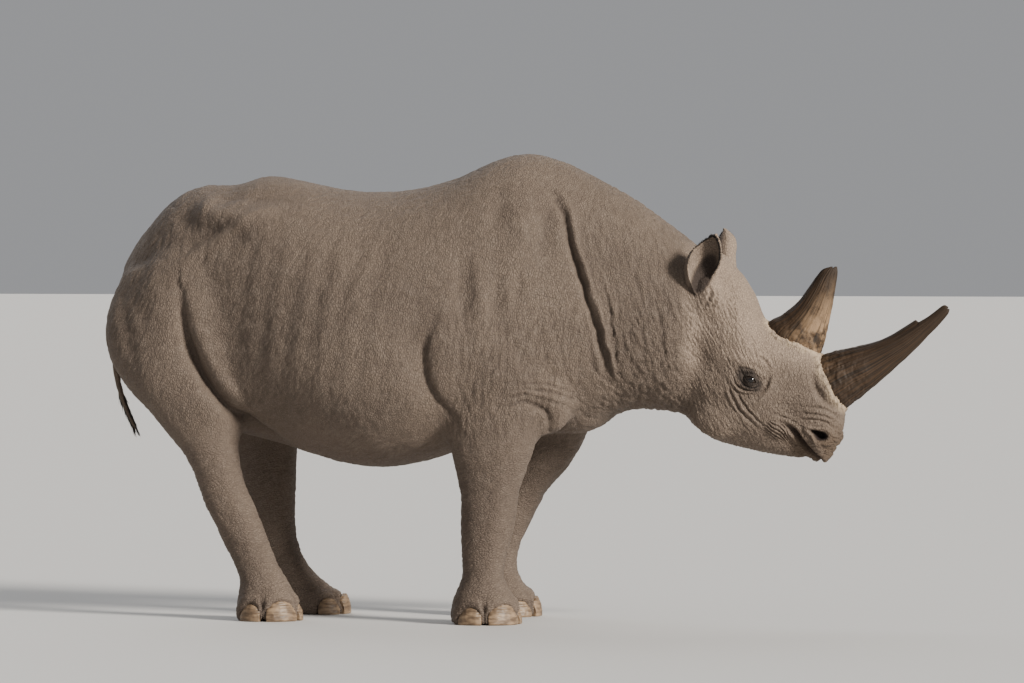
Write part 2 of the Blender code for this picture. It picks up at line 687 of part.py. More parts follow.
# ================================================================ parting and finishing
def part_legs(body, parts, cutters):
    """Upper leg, lower leg and foot of each leg, and the feet by name."""
    pieces = []
    feet = {}
    for kind, (inner, outer) in LEG_CUTS.items():
        for word, side in (("right", -1), ("left", 1)):
            name = f"{kind}_{word}"
            cutter = side_cutter(
                name + "_cut", inner, outer, side * LEG_CUT_INNER, side * LEG_CUT_OUTER, cutters
            )
            leg = part_off(body, cutter, name + "_upper", parts, cutters)
            for level, part in ((KNEE_HEIGHT, "lower"), (ANKLE_HEIGHT, "foot")):
                top = level[kind]
                outline = ((-1.7, top), (0.5, top), (0.5, -0.1), (-1.7, -0.1))
                block = side_cutter(f"{name}_{part}_cut", outline, outline, -0.8, 0.8, cutters)
                foot_name = ("forefoot_" if kind == "foreleg" else "hind_foot_") + word
                piece_name = foot_name if part == "foot" else f"{name}_{part}"
                piece = part_off(leg, block, piece_name, parts, cutters)
                pieces.append(leg)
                leg = piece
            feet[leg.name] = leg
            pieces.append(leg)
    return pieces, feet


def island_of(start):
    """Every corner that is joined to this one by edges."""
    found = {start}
    waiting = [start]
    while waiting:
        for edge in waiting.pop().link_edges:
            for vert in edge.verts:
                if vert not in found:
                    found.add(vert)
                    waiting.append(vert)
    return found


def finish_mesh(thing):
    """Triangles only, without the crumbs that a cut may leave beside the part."""
    work = bmesh.new()
    work.from_mesh(thing.data)
    bmesh.ops.triangulate(work, faces=work.faces)
    islands = []
    left = set(work.verts)
    while left:
        island = island_of(next(iter(left)))
        left -= island
        islands.append(island)
    islands.sort(key=len)
    for crumb in islands[:-1]:
        bmesh.ops.delete(work, geom=list(crumb), context="VERTS")
    work.to_mesh(thing.data)
    work.free()


def stand_on_origin(things, parts):
    """Hangs every part on one empty, which puts the middle of the animal over the origin."""
    bpy.context.view_layer.update()
    corners = [thing.matrix_world @ Vector(c) for thing in things for c in thing.bound_box]
    low = Vector(min(corner[axis] for corner in corners) for axis in range(3))
    high = Vector(max(corner[axis] for corner in corners) for axis in range(3))
    stand = bpy.data.objects.new("stand_point", None)
    parts.objects.link(stand)
    stand.location = (-(low.x + high.x) / 2, -(low.y + high.y) / 2, 0)
    for thing in things:
        thing.parent = stand
    print("length, width and height", [round(v, 4) for v in high - low])


def build():
    clear_scene()
    parts = new_collection(NAME)
    cutters = new_collection(NAME + "_cutters")

    body = build_body(parts)
    head_cutter = beyond_plane("head_cut", *HEAD_CUT, 1.2, cutters)
    head = part_off(body, head_cutter, "head", parts, cutters)
    neck_cutter = beyond_plane("neck_cut", *NECK_CUT, 1.2, cutters)
    neck = part_off(body, neck_cutter, "neck", parts, cutters)
    tail, tail_tip = build_tail(grown_by_gap(body, cutters), parts, cutters)
    legs, feet = part_legs(body, parts, cutters)
    body.name = "trunk"
    flesh = [head, neck, body, tail, tail_tip, *legs]

    head_grown = grown_by_gap(head, cutters)
    horns = build_horns(head_grown, parts)
    ears = build_ears(head_grown, parts, cutters)
    eyes = build_eyes(head, parts, cutters)
    nails = []
    for foot_name, foot in feet.items():
        nails.extend(build_nails(foot_name, foot, parts, cutters))

    groups = {"skin": flesh + ears, "horn": horns, "nail": nails, "eye": eyes}
    for material_name, things in groups.items():
        for thing in things:
            finish_mesh(thing)
            thing.data.materials.clear()
            thing.data.materials.append(material(material_name))
            thing.data.shade_smooth()
            print(thing.name, triangles(thing))
    everything = [thing for things in groups.values() for thing in things]
    stand_on_origin(everything, parts)
    print("triangles in all", sum(triangles(thing) for thing in everything))


build()
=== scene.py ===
# %% [markdown]
# # A black rhinoceros, life size
# The solid model of the animal is divided where a person would name its parts. This script makes
# its looks: one skin over all the flesh, horns, toenails, eyes, the fringe of the ears and the
# bristles of the tail. Metres, +Z up, the head points along +X and the animal's left is +Y.

import math
from contextlib import contextmanager

import bmesh
import bpy
import numpy as np
from mathutils import Euler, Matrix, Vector
from mathutils.bvhtree import BVHTree


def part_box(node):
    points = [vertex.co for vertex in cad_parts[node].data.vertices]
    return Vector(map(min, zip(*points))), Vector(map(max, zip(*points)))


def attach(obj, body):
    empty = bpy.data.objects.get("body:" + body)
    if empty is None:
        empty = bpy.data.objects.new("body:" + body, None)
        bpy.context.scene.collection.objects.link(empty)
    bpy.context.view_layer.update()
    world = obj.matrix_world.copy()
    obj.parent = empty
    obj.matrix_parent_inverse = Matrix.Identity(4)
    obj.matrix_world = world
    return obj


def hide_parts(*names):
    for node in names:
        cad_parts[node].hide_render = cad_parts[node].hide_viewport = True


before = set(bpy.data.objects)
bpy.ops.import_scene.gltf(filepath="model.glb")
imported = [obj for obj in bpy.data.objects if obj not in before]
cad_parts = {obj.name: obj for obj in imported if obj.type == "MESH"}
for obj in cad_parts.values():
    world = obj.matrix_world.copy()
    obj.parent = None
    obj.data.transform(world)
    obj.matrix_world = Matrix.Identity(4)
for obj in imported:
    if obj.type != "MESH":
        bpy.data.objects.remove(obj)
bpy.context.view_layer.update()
scene = bpy.context.scene
rng = np.random.default_rng(4)


# %% [markdown]
# All shapes below are arrays of points, because the skin has some hundred thousand of them and a
# field, such as the depth of a fold, can be worked out for all at once. These are the few helpers
# that read and write a mesh and that fade one value into another.

# %% Helpers for meshes and fields
def read_rows(items, name, width=3, kind=float):
    """One value of every point or edge of a mesh, as the rows of an array."""
    found = np.empty(len(items) * width, kind)
    items.foreach_get(name, found)
    return found.reshape(-1, width)


def points_of(mesh):
    return read_rows(mesh.vertices, "co")


def normals_of(mesh):
    return read_rows(mesh.vertex_normals, "vector")


def edges_of(mesh):
    return read_rows(mesh.edges, "vertices", 2, np.int32)


def set_points(mesh, points):
    mesh.vertices.foreach_set("co", points.ravel())
    mesh.update()


def unit(vectors):
    """The same directions with a length of 1."""
    return vectors / np.linalg.norm(vectors, axis=-1, keepdims=True)


def fade(low, high, value):
    """0 below low, 1 above high and a smooth step between."""
    share = np.clip((value - low) / (high - low), 0, 1)
    return share * share * (3 - 2 * share)


def window(low, full, falling, high, value):
    """1 from full to falling, with smooth steps up from low and down to high."""
    return fade(low, full, value) * (1 - fade(falling, high, value))


def hump(value, width):
    """1 where the value is 0, falling off over the width."""
    return np.exp(-((value / width) ** 2))


def linked(name, data):
    """A new object of the scene, made of that data."""
    made = bpy.data.objects.new(name, data)
    scene.collection.objects.link(made)
    return made


def add_mesh_object(name, points, faces):
    mesh = bpy.data.meshes.new(name)
    mesh.from_pydata([tuple(p) for p in points], [], [tuple(f) for f in faces])
    mesh.validate()
    return linked(name, mesh)


@contextmanager
def editing(mesh):
    """A mesh opened for an edit and written back after it."""
    work = bmesh.new()
    work.from_mesh(mesh)
    yield work
    work.to_mesh(mesh)
    work.free()


def mask(mesh, name, values):
    made = mesh.attributes.new(name, "FLOAT", "POINT")
    made.data.foreach_set("value", values.astype(np.float32))


def with_modifier(thing, kind, **settings):
    """Replaces a thing's mesh with what one modifier makes of it."""
    step = thing.modifiers.new(kind.lower(), kind)
    for name, value in settings.items():
        setattr(step, name, value)
    graph = bpy.context.evaluated_depsgraph_get()
    mesh = bpy.data.meshes.new_from_object(thing.evaluated_get(graph))
    thing.modifiers.clear()
    old = thing.data
    thing.data = mesh
    bpy.data.meshes.remove(old)


# %% [markdown]
# Two more tools. `relaxed` moves each point towards its neighbours, which rounds off facets, and
# gives back what that shrinks. `noise` is smooth random relief, and its lines of zero height make
# convincing wrinkles, above all when it is stretched in one direction.

# %% Smoothing and noise
def averaged(points, edges, passes):
    """Each pass moves every point halfway to the mean of its neighbours."""
    count = len(points)
    a, b = edges.T
    neighbours = np.maximum(np.bincount(edges.ravel(), minlength=count), 1)
    moved = points.copy()
    for _ in range(passes):
        mean = np.empty_like(moved)
        for axis in range(moved.shape[1]):
            values = moved[:, axis]
            total = np.bincount(a, values[b], count) + np.bincount(b, values[a], count)
            mean[:, axis] = total / neighbours
        moved += 0.5 * (mean - moved)
    return moved


def relaxed(points, edges, passes):
    """Smoothed without shrinking: the smoothed loss is given back."""
    smooth = averaged(points, edges, passes)
    return smooth + averaged(points - smooth, edges, passes)


NOISE_ORDER = np.tile(rng.permutation(256), 2)
NOISE_SLOPES = unit(rng.normal(size=(256, 3)))
NOISE_TURN = np.array(Euler((0.7, 0.5, 0.3)).to_matrix())  # so that no grid shows on flat sides


def noise(points, size):
    """Smooth relief between about -0.7 and 0.7 with bumps of that size, one size or three."""
    at = points / np.asarray(size, float) @ NOISE_TURN
    cell = np.floor(at).astype(int)
    inside = at - cell
    ease = inside**3 * (inside * (inside * 6 - 15) + 10)
    cell &= 255
    total = np.zeros(len(at))
    for corner in range(8):
        step = np.array([corner & 1, corner >> 1 & 1, corner >> 2 & 1])
        x, y, z = ((cell + step) & 255).T
        slope = NOISE_SLOPES[NOISE_ORDER[NOISE_ORDER[NOISE_ORDER[x] + y] + z]]
        share = np.where(step, ease, 1 - ease).prod(1)
        total += share * ((inside - step) * slope).sum(1)
    return total


def wrinkles(points, size, sharp=0.10):
    """1 along the bottoms of random wrinkles and 0 between them."""
    return hump(noise(points, size), sharp)


# %% [markdown]
# ## The skin as one surface
# On the animal one hide covers everything but horns, nails and eyes. The solid parts only divide
# it. A voxel remesh melts copies of them into one closed surface, with eyes and nails put in for
# the moment, so that sockets and nail beds close too. The cells are large, which loses the thin
# cuts, and smoothing takes away the flats of the solid model.

# %% Melt the flesh into one surface
CELL = 0.012
PASSES = 8  # of smoothing, enough to lose the flats and the thin cuts
FLESH = [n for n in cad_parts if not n.startswith(("horn", "eye", "nail"))]
THIN = ("ear", "tail")


def joined(node_names):
    work = bmesh.new()
    for node in node_names:
        work.from_mesh(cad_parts[node].data)
    return work


def joined_copy(name, node_names):
    work = joined(node_names)
    bmesh.ops.remove_doubles(work, verts=work.verts, dist=1e-6)
    mesh = bpy.data.meshes.new(name)
    work.to_mesh(mesh)
    work.free()
    return linked(name, mesh)


def keep_largest(thing):
    """Removes all but the largest connected piece of a mesh, and says how many there were."""
    a, b = edges_of(thing.data).T
    label = np.arange(len(thing.data.vertices))
    before = None
    while not np.array_equal(before, label):
        before = label.copy()
        least = np.minimum(label[a], label[b])
        np.minimum.at(label, a, least)
        np.minimum.at(label, b, least)
        label = label[label]
    names, counts = np.unique(label, return_counts=True)
    with editing(thing.data) as work:
        work.verts.ensure_lookup_table()
        loose = [work.verts[i] for i in np.flatnonzero(label != names[counts.argmax()])]
        bmesh.ops.delete(work, geom=loose, context="VERTS")
    return len(names)


whole = [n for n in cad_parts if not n.startswith((*THIN, "horn"))]
skin = joined_copy("skin", whole)
with_modifier(skin, "REMESH", mode="VOXEL", voxel_size=CELL, use_smooth_shade=True)
pieces = keep_largest(skin)
mesh = skin.data
set_points(mesh, relaxed(points_of(mesh), edges_of(mesh), PASSES))
with_modifier(skin, "SUBSURF", levels=1, render_levels=1)
print("skin of", len(skin.data.vertices), "points, from", pieces, "pieces")


# %% [markdown]
# ## Ears and tail
# Both are too thin for cells that large, so they are lofted: rings of points along a smooth line
# through a few sections. An ear is a trumpet on a short stalk. Its opening is a long leaf that
# ends in a point at its foot, so a solid ear is hollowed with a bowl of that outline.

# %% Lofts
def smooth_rows(rows, steps):
    """Rows on a Catmull-Rom curve through the given ones."""
    rows = np.array(rows, float)
    padded = np.vstack((2 * rows[0] - rows[1], rows, 2 * rows[-1] - rows[-2]))
    made = []
    for i in range(len(rows) - 1):
        a, b, c, d = padded[i : i + 4]
        for t in np.arange(steps) / steps:
            curve = 2 * b + t * (c - a) + t**2 * (2 * a - 5 * b + 4 * c - d)
            made.append(0.5 * (curve + t**3 * (3 * b - 3 * c + d - a)))
    made.append(rows[-1])
    return np.array(made)


def turns_of(count):
    return np.linspace(0, 2 * math.pi, count, endpoint=False)


def face_outwards(thing):
    with editing(thing.data) as work:
        bmesh.ops.recalc_face_normals(work, faces=work.faces)
    return thing


def loft(name, rings):
    """A closed mesh through rings of points, with a fan of triangles over each end."""
    count, around = rings.shape[:2]
    index = np.arange(count * around).reshape(count, around)
    after = np.roll(index, -1, axis=1)
    quads = np.stack((index[:-1], after[:-1], after[1:], index[1:]), -1).reshape(-1, 4)
    ends = np.stack((rings[0].mean(0), rings[-1].mean(0)))
    first, last = count * around, count * around + 1
    caps = [(first, after[0][i], index[0][i]) for i in range(around)]
    caps += [(last, index[-1][i], after[-1][i]) for i in range(around)]
    points = np.vstack((rings.reshape(-1, 3), ends))
    return face_outwards(add_mesh_object(name, points, [*quads.tolist(), *caps]))


def boolean(thing, other, operation):
    """Unites or cuts with another closed mesh, which is removed."""
    with_modifier(thing, "BOOLEAN", object=other, operation=operation, solver="MANIFOLD")
    bpy.data.objects.remove(other, do_unlink=True)
    return thing


# %% Ears
EARS = {
    # middle as x, y, z, then half the breadth and half the depth
    "ear_right": (
        (0.636, -0.146, 1.052, 0.010, 0.012),
        (0.630, -0.154, 1.092, 0.026, 0.024),
        (0.631, -0.166, 1.132, 0.041, 0.036),
        (0.641, -0.177, 1.170, 0.052, 0.045),
        (0.654, -0.184, 1.203, 0.056, 0.048),
        (0.666, -0.189, 1.232, 0.051, 0.043),
        (0.681, -0.191, 1.260, 0.033, 0.028),
        (0.693, -0.193, 1.280, 0.014, 0.014),
        (0.700, -0.194, 1.290, 0.004, 0.005),
    ),
    "ear_left": (
        (0.672, 0.138, 1.065, 0.016, 0.020),
        (0.668, 0.150, 1.110, 0.028, 0.034),
        (0.660, 0.164, 1.150, 0.034, 0.045),
        (0.655, 0.174, 1.187, 0.035, 0.050),
        (0.651, 0.179, 1.220, 0.036, 0.050),
        (0.654, 0.183, 1.250, 0.034, 0.042),
        (0.656, 0.185, 1.275, 0.026, 0.028),
        (0.652, 0.186, 1.294, 0.013, 0.014),
        (0.645, 0.187, 1.307, 0.004, 0.005),
    ),
}
EAR_STALKS = {
    "ear_right": (
        (0.664, -0.100, 1.000, 0.044, 0.032),
        (0.654, -0.112, 1.050, 0.036, 0.030),
        (0.646, -0.122, 1.090, 0.030, 0.024),
        (0.640, -0.132, 1.120, 0.020, 0.014),
    ),
    "ear_left": (
        (0.690, 0.105, 1.000, 0.044, 0.036),
        (0.682, 0.122, 1.060, 0.036, 0.034),
        (0.676, 0.132, 1.095, 0.028, 0.026),
        (0.670, 0.140, 1.120, 0.018, 0.016),
    ),
}
# opening: its middle, the way it faces, its lean, half its length and breadth, how deep it is
EAR_OPENINGS = {
    "ear_right": ((0.652, -0.190, 1.174), (0.24, -0.97, 0.02), 13, 0.114, 0.0540, 0.066),
    "ear_left": ((0.652, 0.182, 1.195), (-0.45, 0.88, 0.10), 4, 0.096, 0.044, 0.066),
}
EAR_AROUND = 72
EAR_STEPS = 14  # rings between two rows of the tables above
STALK_STEPS = 10
EAR_TURN = math.radians(14)  # the flat side of an ear is turned a little to the front


def ear_rings(rows):
    turns = turns_of(EAR_AROUND)
    broad = np.array((math.cos(EAR_TURN), math.sin(EAR_TURN), 0))
    deep = np.array((-math.sin(EAR_TURN), math.cos(EAR_TURN), 0))
    rings = []
    for x, y, z, breadth, depth in rows:
        ring = np.outer(breadth * np.cos(turns), broad) + np.outer(depth * np.sin(turns), deep)
        rings.append(ring + (x, y, z))
    return np.array(rings)


def ear_axes(out, lean):
    """The way an opening faces, its long way and its short way, for a lean in degrees."""
    out = unit(out)
    across = unit(np.cross((0, 0, 1), out))
    across *= np.sign(across[0])
    up = np.cross(out, across)
    up *= np.sign(up[2])
    lean = math.radians(lean)
    along = up * math.cos(lean) + across * math.sin(lean)
    side = across * math.cos(lean) - up * math.sin(lean)
    return out, along, side


def ear_bowl(middle, out, lean, half_length, half_breadth, depth):
    """A bowl with the outline of a leaf, pointed below, whose sides fall steeply."""
    middle = np.array(middle)
    out, along, side = ear_axes(out, lean)
    turns = turns_of(EAR_AROUND)
    height = np.sin(turns)
    breadth = np.cos(turns) * (0.62 + 0.38 * fade(-1.0, 0.35, height))
    outline = np.outer(half_length * height, along) + np.outer(half_breadth * breadth, side)
    rings = [middle + outline * 1.45 + out * 0.090, middle + outline * 1.10 + out * 0.040]
    for step in np.linspace(0, 1, 16):
        size = (1 - step**1.8) ** 0.75 if step < 1 else 0.0
        sunk = out * (0.022 - depth * step) - along * 0.030 * step + side * 0.016 * step
        rings.append(middle + outline * max(size, 0.03) + sunk)
    return loft("bowl", np.array(rings))


SHARP = 0.7  # radians between the faces at the rim of an ear


def sharp_points(thing, angle):
    """Points on the sharp edges of a mesh, which here are the rims of the ears."""
    work = bmesh.new()
    work.from_mesh(thing.data)
    found = set()
    for edge in work.edges:
        if len(edge.link_faces) == 2 and edge.calc_face_angle() > angle:
            found.update(tuple(v.co) for v in edge.verts)
    work.free()
    return np.array(sorted(found))


ear_rims = {}


def make_ear(name):
    ear = loft(name, ear_rings(smooth_rows(EARS[name], EAR_STEPS)))
    boolean(ear, ear_bowl(*EAR_OPENINGS[name]), "DIFFERENCE")
    rim = sharp_points(ear, SHARP)
    ear_rims[name] = rim[(rim[:, 2] > 1.10) & (rim[:, 2] < rim[:, 2].max() - 0.004)]
    loops = len(ear.data.vertices) - len(ear.data.edges) + len(ear.data.polygons)
    print(name, "is one hollow shell:", loops == 2)
    set_points(ear.data, averaged(points_of(ear.data), edges_of(ear.data), 3))
    stalk = loft("stalk", ear_rings(smooth_rows(EAR_STALKS[name], STALK_STEPS)))
    return boolean(ear, stalk, "UNION")


# %% [markdown]
# The tail hangs in a slight bow from the rump. It is round, a little wider from front to back at
# its root, and ends in stiff bristles.

# %% Tail, and all three united with the skin
TAIL = (
    # front edge x, z, rear edge x, z, sideways place, half width
    (-1.290, 1.170, -1.250, 1.120, 0.008, 0.034),
    (-1.376, 1.100, -1.336, 1.072, 0.014, 0.029),
    (-1.422, 1.010, -1.382, 0.995, 0.022, 0.024),
    (-1.442, 0.900, -1.412, 0.895, 0.030, 0.018),
    (-1.438, 0.800, -1.414, 0.797, 0.036, 0.014),
    (-1.415, 0.720, -1.393, 0.714, 0.040, 0.011),
    (-1.384, 0.655, -1.367, 0.648, 0.042, 0.008),
    (-1.370, 0.628, -1.360, 0.624, 0.043, 0.004),
)


def edge_rings(rows, around):
    """Rings from rows of two edge points in the middle plane, a sideways place and a half width."""
    turns = turns_of(around)
    rings = []
    for ax, az, bx, bz, side, half_width in rows:
        upper, lower = np.array([ax, side, az]), np.array([bx, side, bz])
        ring = (upper + lower) / 2 + (upper - lower) / 2 * np.cos(turns)[:, None]
        ring[:, 1] += half_width * np.sin(turns)
        rings.append(ring)
    return np.array(rings)


TAIL_STEPS = 14
tail = loft("tail_loft", edge_rings(smooth_rows(TAIL, TAIL_STEPS), 28))
for part in (tail, make_ear("ear_right"), make_ear("ear_left")):
    boolean(skin, part, "UNION")
print("with ears and tail", len(skin.data.vertices), "points")


# %% [markdown]
# ## Finer where it matters
# Folds of the head are much finer than those of the trunk. Faces of the head are divided once
# more, and those round eyes, nostrils and mouth a second time.

# %% Divide the head more finely
def finer(thing, chosen):
    """Divides the faces whose points are all chosen, and turns odd faces into triangles."""
    with editing(thing.data) as work:
        for vert, flag in zip(work.verts, chosen):
            vert.tag = bool(flag)
        edges = {e for f in work.faces if all(v.tag for v in f.verts) for e in f.edges}
        bmesh.ops.subdivide_edges(work, edges=list(edges), cuts=1, use_grid_fill=True)
        odd = [face for face in work.faces if len(face.verts) > 4]
        bmesh.ops.triangulate(work, faces=odd)


SIDES = {"right": -1, "left": 1}
EYE = {}
for word, side in SIDES.items():
    low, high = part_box("eye_" + word)
    EYE[side] = np.array((low + high) / 2)
low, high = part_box("eye_right")
EYE_RADIUS = (high - low).length / 2 / math.sqrt(3)
NOSTRIL = np.array((1.024, 0.090, 0.630))
MOUTH = ((1.012, 0.545), (0.962, 0.606), (0.936, 0.642), (0.898, 0.668))
MOUTH_CORNER = (0.884, 0.641)
FINEST = 0.060  # how far round eyes and nostrils the skin is finest

x, y, z = points_of(skin.data).T
on_ear = (z > 1.10) & (np.abs(y) > 0.12)
finer(skin, (x > 0.60) & ~on_ear)

points = points_of(skin.data)
x, y, z = points.T
finest = (x > 0.90) & (z < 0.68)
for side in SIDES.values():
    for place in (EYE[side], NOSTRIL * (1, side, 1)):
        finest |= np.linalg.norm(points - place, axis=1) < FINEST
finer(skin, finest)
skin.data.shade_smooth()
edges = edges_of(skin.data)
points = points_of(skin.data)
x, y, z = points.T
print("head divided:", len(points), "points,", len(skin.data.polygons), "faces")
print("eye", EYE[-1].round(3), "radius", round(EYE_RADIUS, 4))


# %% [markdown]
# ## Muscle, bone and folds
# A fold is a groove along a line of points, given from the side as x and z and laid on both flanks.
# Its depth fades with the distance from the line. A form is a soft hump, wide or long, for a muscle
# or a bone under the hide, or a hollow when its height is below zero.

# %% Forms and folds
def distance_to_line(flat, line):
    """Distance of flat points from a line of points, and which side of it they are on."""
    line = np.array(smooth_rows(line, 5) if len(line) > 2 else line, float)
    best = np.full(len(flat), np.inf)
    side = np.zeros(len(flat))
    share = np.zeros(len(flat))
    for i, (a, b) in enumerate(zip(line, line[1:])):
        along = b - a
        t = np.clip((flat - a) @ along / (along @ along), 0, 1)
        off = flat - a - t[:, None] * along
        far = np.hypot(off[:, 0], off[:, 1])
        closer = far < best
        best[closer] = far[closer]
        turn = along[0] * off[:, 1] - along[1] * off[:, 0]
        side[closer] = np.sign(turn)[closer]
        share[closer] = ((i + t) / (len(line) - 1))[closer]
    return best, side, share


def fold(flat, line, depth, width, lip=0.0, sag=0.0):
    """Depth of a groove along a line, deepest in its middle, with a swollen lip on its left.

    sag lifts the broad part on the left of the line and sinks the right, as where a belly hangs
    over a thigh.
    """
    reach = 0.25 if sag else max(4 * width, 0.02)
    corners = np.array(line)
    near = ((flat > corners.min(0) - reach) & (flat < corners.max(0) + reach)).all(1)
    height = np.zeros(len(flat))
    far, side, share = distance_to_line(flat[near], line)
    ends = np.sin(math.pi * np.clip(share, 0.02, 0.98)) ** 0.6
    made = -depth * hump(far, width)
    made += lip * hump(far - 1.8 * width, width) * (side > 0)
    if sag:
        made += sag * hump(far, 0.11) * fade(0, 0.6 * width, far * side)
        made -= 0.6 * sag * hump(far, 0.05) * fade(0, 0.6 * width, -far * side)
    height[near] = made * ends
    return height


def form(flat, place, radii, height, turn):
    """A soft hump with two radii, turned by so many degrees."""
    off = flat - np.array(place)
    cos, sin = math.cos(math.radians(turn)), math.sin(math.radians(turn))
    a = (off[:, 0] * cos + off[:, 1] * sin) / radii[0]
    b = (off[:, 1] * cos - off[:, 0] * sin) / radii[1]
    return height * np.exp(-(a * a + b * b))


# %% [markdown]
# The big forms of this animal: the edge of the shoulder blade, a hollow before and behind it, faint
# ribs, the points of the hip, the hollow flank, and the deep fold in which the belly hangs over the
# thigh. Strong folds run down behind the neck, where the hide bunches when the head is carried low.

# %% Trunk and neck
normals = normals_of(skin.data)
flat = points[:, (0, 2)]


def wandering(amount, size):
    """The flat points pushed about by noise, so that a fold laid on them wavers."""
    return flat + amount * np.stack((noise(points, size), noise(points + 3, size)), 1)


on_body = 1 - fade(0.56, 0.62, x)
lift = np.zeros(len(points))

BODY_FORMS = (
    # place, radii, height, turn
    ((-0.012, 1.370), (0.030, 0.060), -0.009, 0),  # hollows and bands of the shoulder
    ((0.141, 1.300), (0.026, 0.080), -0.010, -6),
    ((0.067, 1.115), (0.018, 0.050), -0.007, -4),
    ((-0.108, 1.080), (0.034, 0.120), -0.013, 0),
    ((0.000, 1.085), (0.022, 0.070), -0.009, 0),
    ((-0.058, 1.100), (0.026, 0.120), 0.007, 4),
    ((0.068, 1.290), (0.040, 0.110), 0.008, 0),
    ((-0.060, 0.900), (0.100, 0.100), 0.012, 0),  # upper arm
    ((-0.245, 0.880), (0.050, 0.150), -0.016, 8),  # hollow behind the elbow
    ((-0.760, 1.450), (0.050, 0.026), 0.007, 0),  # point of the hip
    ((-0.865, 1.400), (0.085, 0.034), -0.020, 8),
    ((-1.025, 1.362), (0.046, 0.046), 0.026, 10),
    ((-1.090, 1.320), (0.040, 0.060), -0.007, 20),
    ((-0.900, 1.270), (0.100, 0.050), -0.010, -30),  # hollow of the flank
    ((-1.180, 1.050), (0.060, 0.160), 0.008, 20),  # thigh muscles
    ((-1.290, 1.000), (0.030, 0.170), -0.007, 14),
    ((-1.200, 0.780), (0.060, 0.120), 0.007, 20),
    ((0.430, 0.960), (0.090, 0.120), 0.006, 0),
)
outward = fade(-0.10, 0.35, normals[:, 1] * np.sign(y))
outward *= fade(0.03, 0.11, np.abs(y))
for place, radii, height, turn in BODY_FORMS:
    lift += form(flat, place, radii, height, turn) * outward

RIB_SPACING = 0.093
rib_place = x - 0.16 * (z - 1.0) + 0.020 * noise(points, 0.25)
ribs = np.cos(2 * math.pi * rib_place / RIB_SPACING)
ribs_show = window(-0.93, -0.80, -0.42, -0.28, x)
ribs_show *= window(0.72, 0.86, 1.20, 1.32, z)
ribs_show *= 0.5 + 0.8 * noise(points + 2, 0.30)
lift += 0.0030 * ribs * ribs_show * outward

BELLY_FOLD = (
    (-1.082, 1.100), (-1.064, 0.985), (-1.040, 0.900), (-1.002, 0.820),
    (-0.955, 0.750), (-0.905, 0.690), (-0.850, 0.640), (-0.780, 0.590),
)
NECK_FOLDS = (
    # line, depth, width, lip
    (((0.150, 1.425), (0.200, 1.350), (0.225, 1.250), (0.258, 1.150), (0.292, 1.040),
      (0.325, 0.925), (0.342, 0.800)), 0.022, 0.011, 0.009),
    (((0.288, 1.130), (0.312, 1.030), (0.335, 0.930), (0.350, 0.850), (0.360, 0.790)),
     0.010, 0.006, 0.004),
    (((0.345, 1.100), (0.358, 1.020), (0.372, 0.920), (0.372, 0.830)), 0.006, 0.006, 0.003),
    (((0.400, 1.090), (0.408, 1.010), (0.424, 0.930)), 0.0035, 0.006, 0.002),
    (((0.275, 1.000), (0.292, 0.900), (0.300, 0.820)), 0.003, 0.007, 0.002),
    (((0.455, 1.020), (0.464, 0.940), (0.470, 0.850)), 0.0030, 0.007, 0.002),
    (((0.505, 1.060), (0.522, 0.960), (0.520, 0.860)), 0.0040, 0.008, 0.003),
)
HIP_LINES = (
    # line, depth (below zero for a ridge), width
    (((-0.833, 1.356), (-0.977, 1.263), (-1.120, 1.168)), -0.012, 0.022),
    (((-0.880, 1.360), (-0.985, 1.303), (-1.100, 1.240)), 0.005, 0.024),
    (((-0.800, 1.370), (-0.880, 1.290), (-0.950, 1.195)), 0.006, 0.026),
    (((-1.000, 1.262), (-1.012, 1.220), (-1.020, 1.165)), 0.004, 0.007),
    (((-0.952, 1.258), (-0.968, 1.220), (-0.975, 1.180)), 0.003, 0.006),
)
ELBOW_FOLD = (
    (-0.196, 1.000), (-0.222, 0.925), (-0.226, 0.860),
    (-0.216, 0.790), (-0.188, 0.732), (-0.150, 0.680),
)
CHEST_FOLDS = (
    # over the top of the foreleg and down its front, with small ones above it
    (((0.000, 0.722), (0.075, 0.733), (0.117, 0.722), (0.146, 0.700), (0.153, 0.664),
      (0.143, 0.620)), 0.014, 0.009, -0.004),
    (((0.020, 0.752), (0.090, 0.757), (0.150, 0.744), (0.210, 0.722)), 0.005, 0.006, 0.003),
    (((0.060, 0.774), (0.120, 0.776), (0.180, 0.762), (0.240, 0.738)), 0.004, 0.005, 0.003),
    (((0.040, 0.798), (0.110, 0.800), (0.170, 0.786), (0.230, 0.762)), 0.003, 0.005, 0.002),
)
lift += fold(flat, BELLY_FOLD, 0.040, 0.024, 0.0, 0.022) * outward
lift += fold(flat, ELBOW_FOLD, 0.009, 0.017, 0.0, 0.010) * outward
for line, depth, width in HIP_LINES:
    lift += fold(flat, line, depth, width) * outward
wavering = wandering(0.010, 0.05)
for line, depth, width, lip in NECK_FOLDS + CHEST_FOLDS:
    lift += fold(wavering, line, depth, width, lip) * outward * on_body
print("folds of the trunk down to", round(lift.min(), 4), "up to", round(lift.max(), 4))


# %% [markdown]
# Between the folds the whole hide is wrinkled. The wrinkles run across the way in which a part
# bends: upright on neck and shoulder, in rings round the legs, and as a fine net on the flank.

# %% Wrinkles of the body
def sheared(axis, amount):
    """The points shifted along one axis, each by its own amount, so that wrinkles lean."""
    moved = points.copy()
    moved[:, axis] += amount
    return moved


def carve(lift, rows):
    for depth, where, seen, size, sharp in rows:
        lift -= depth * where * wrinkles(seen, size, sharp)


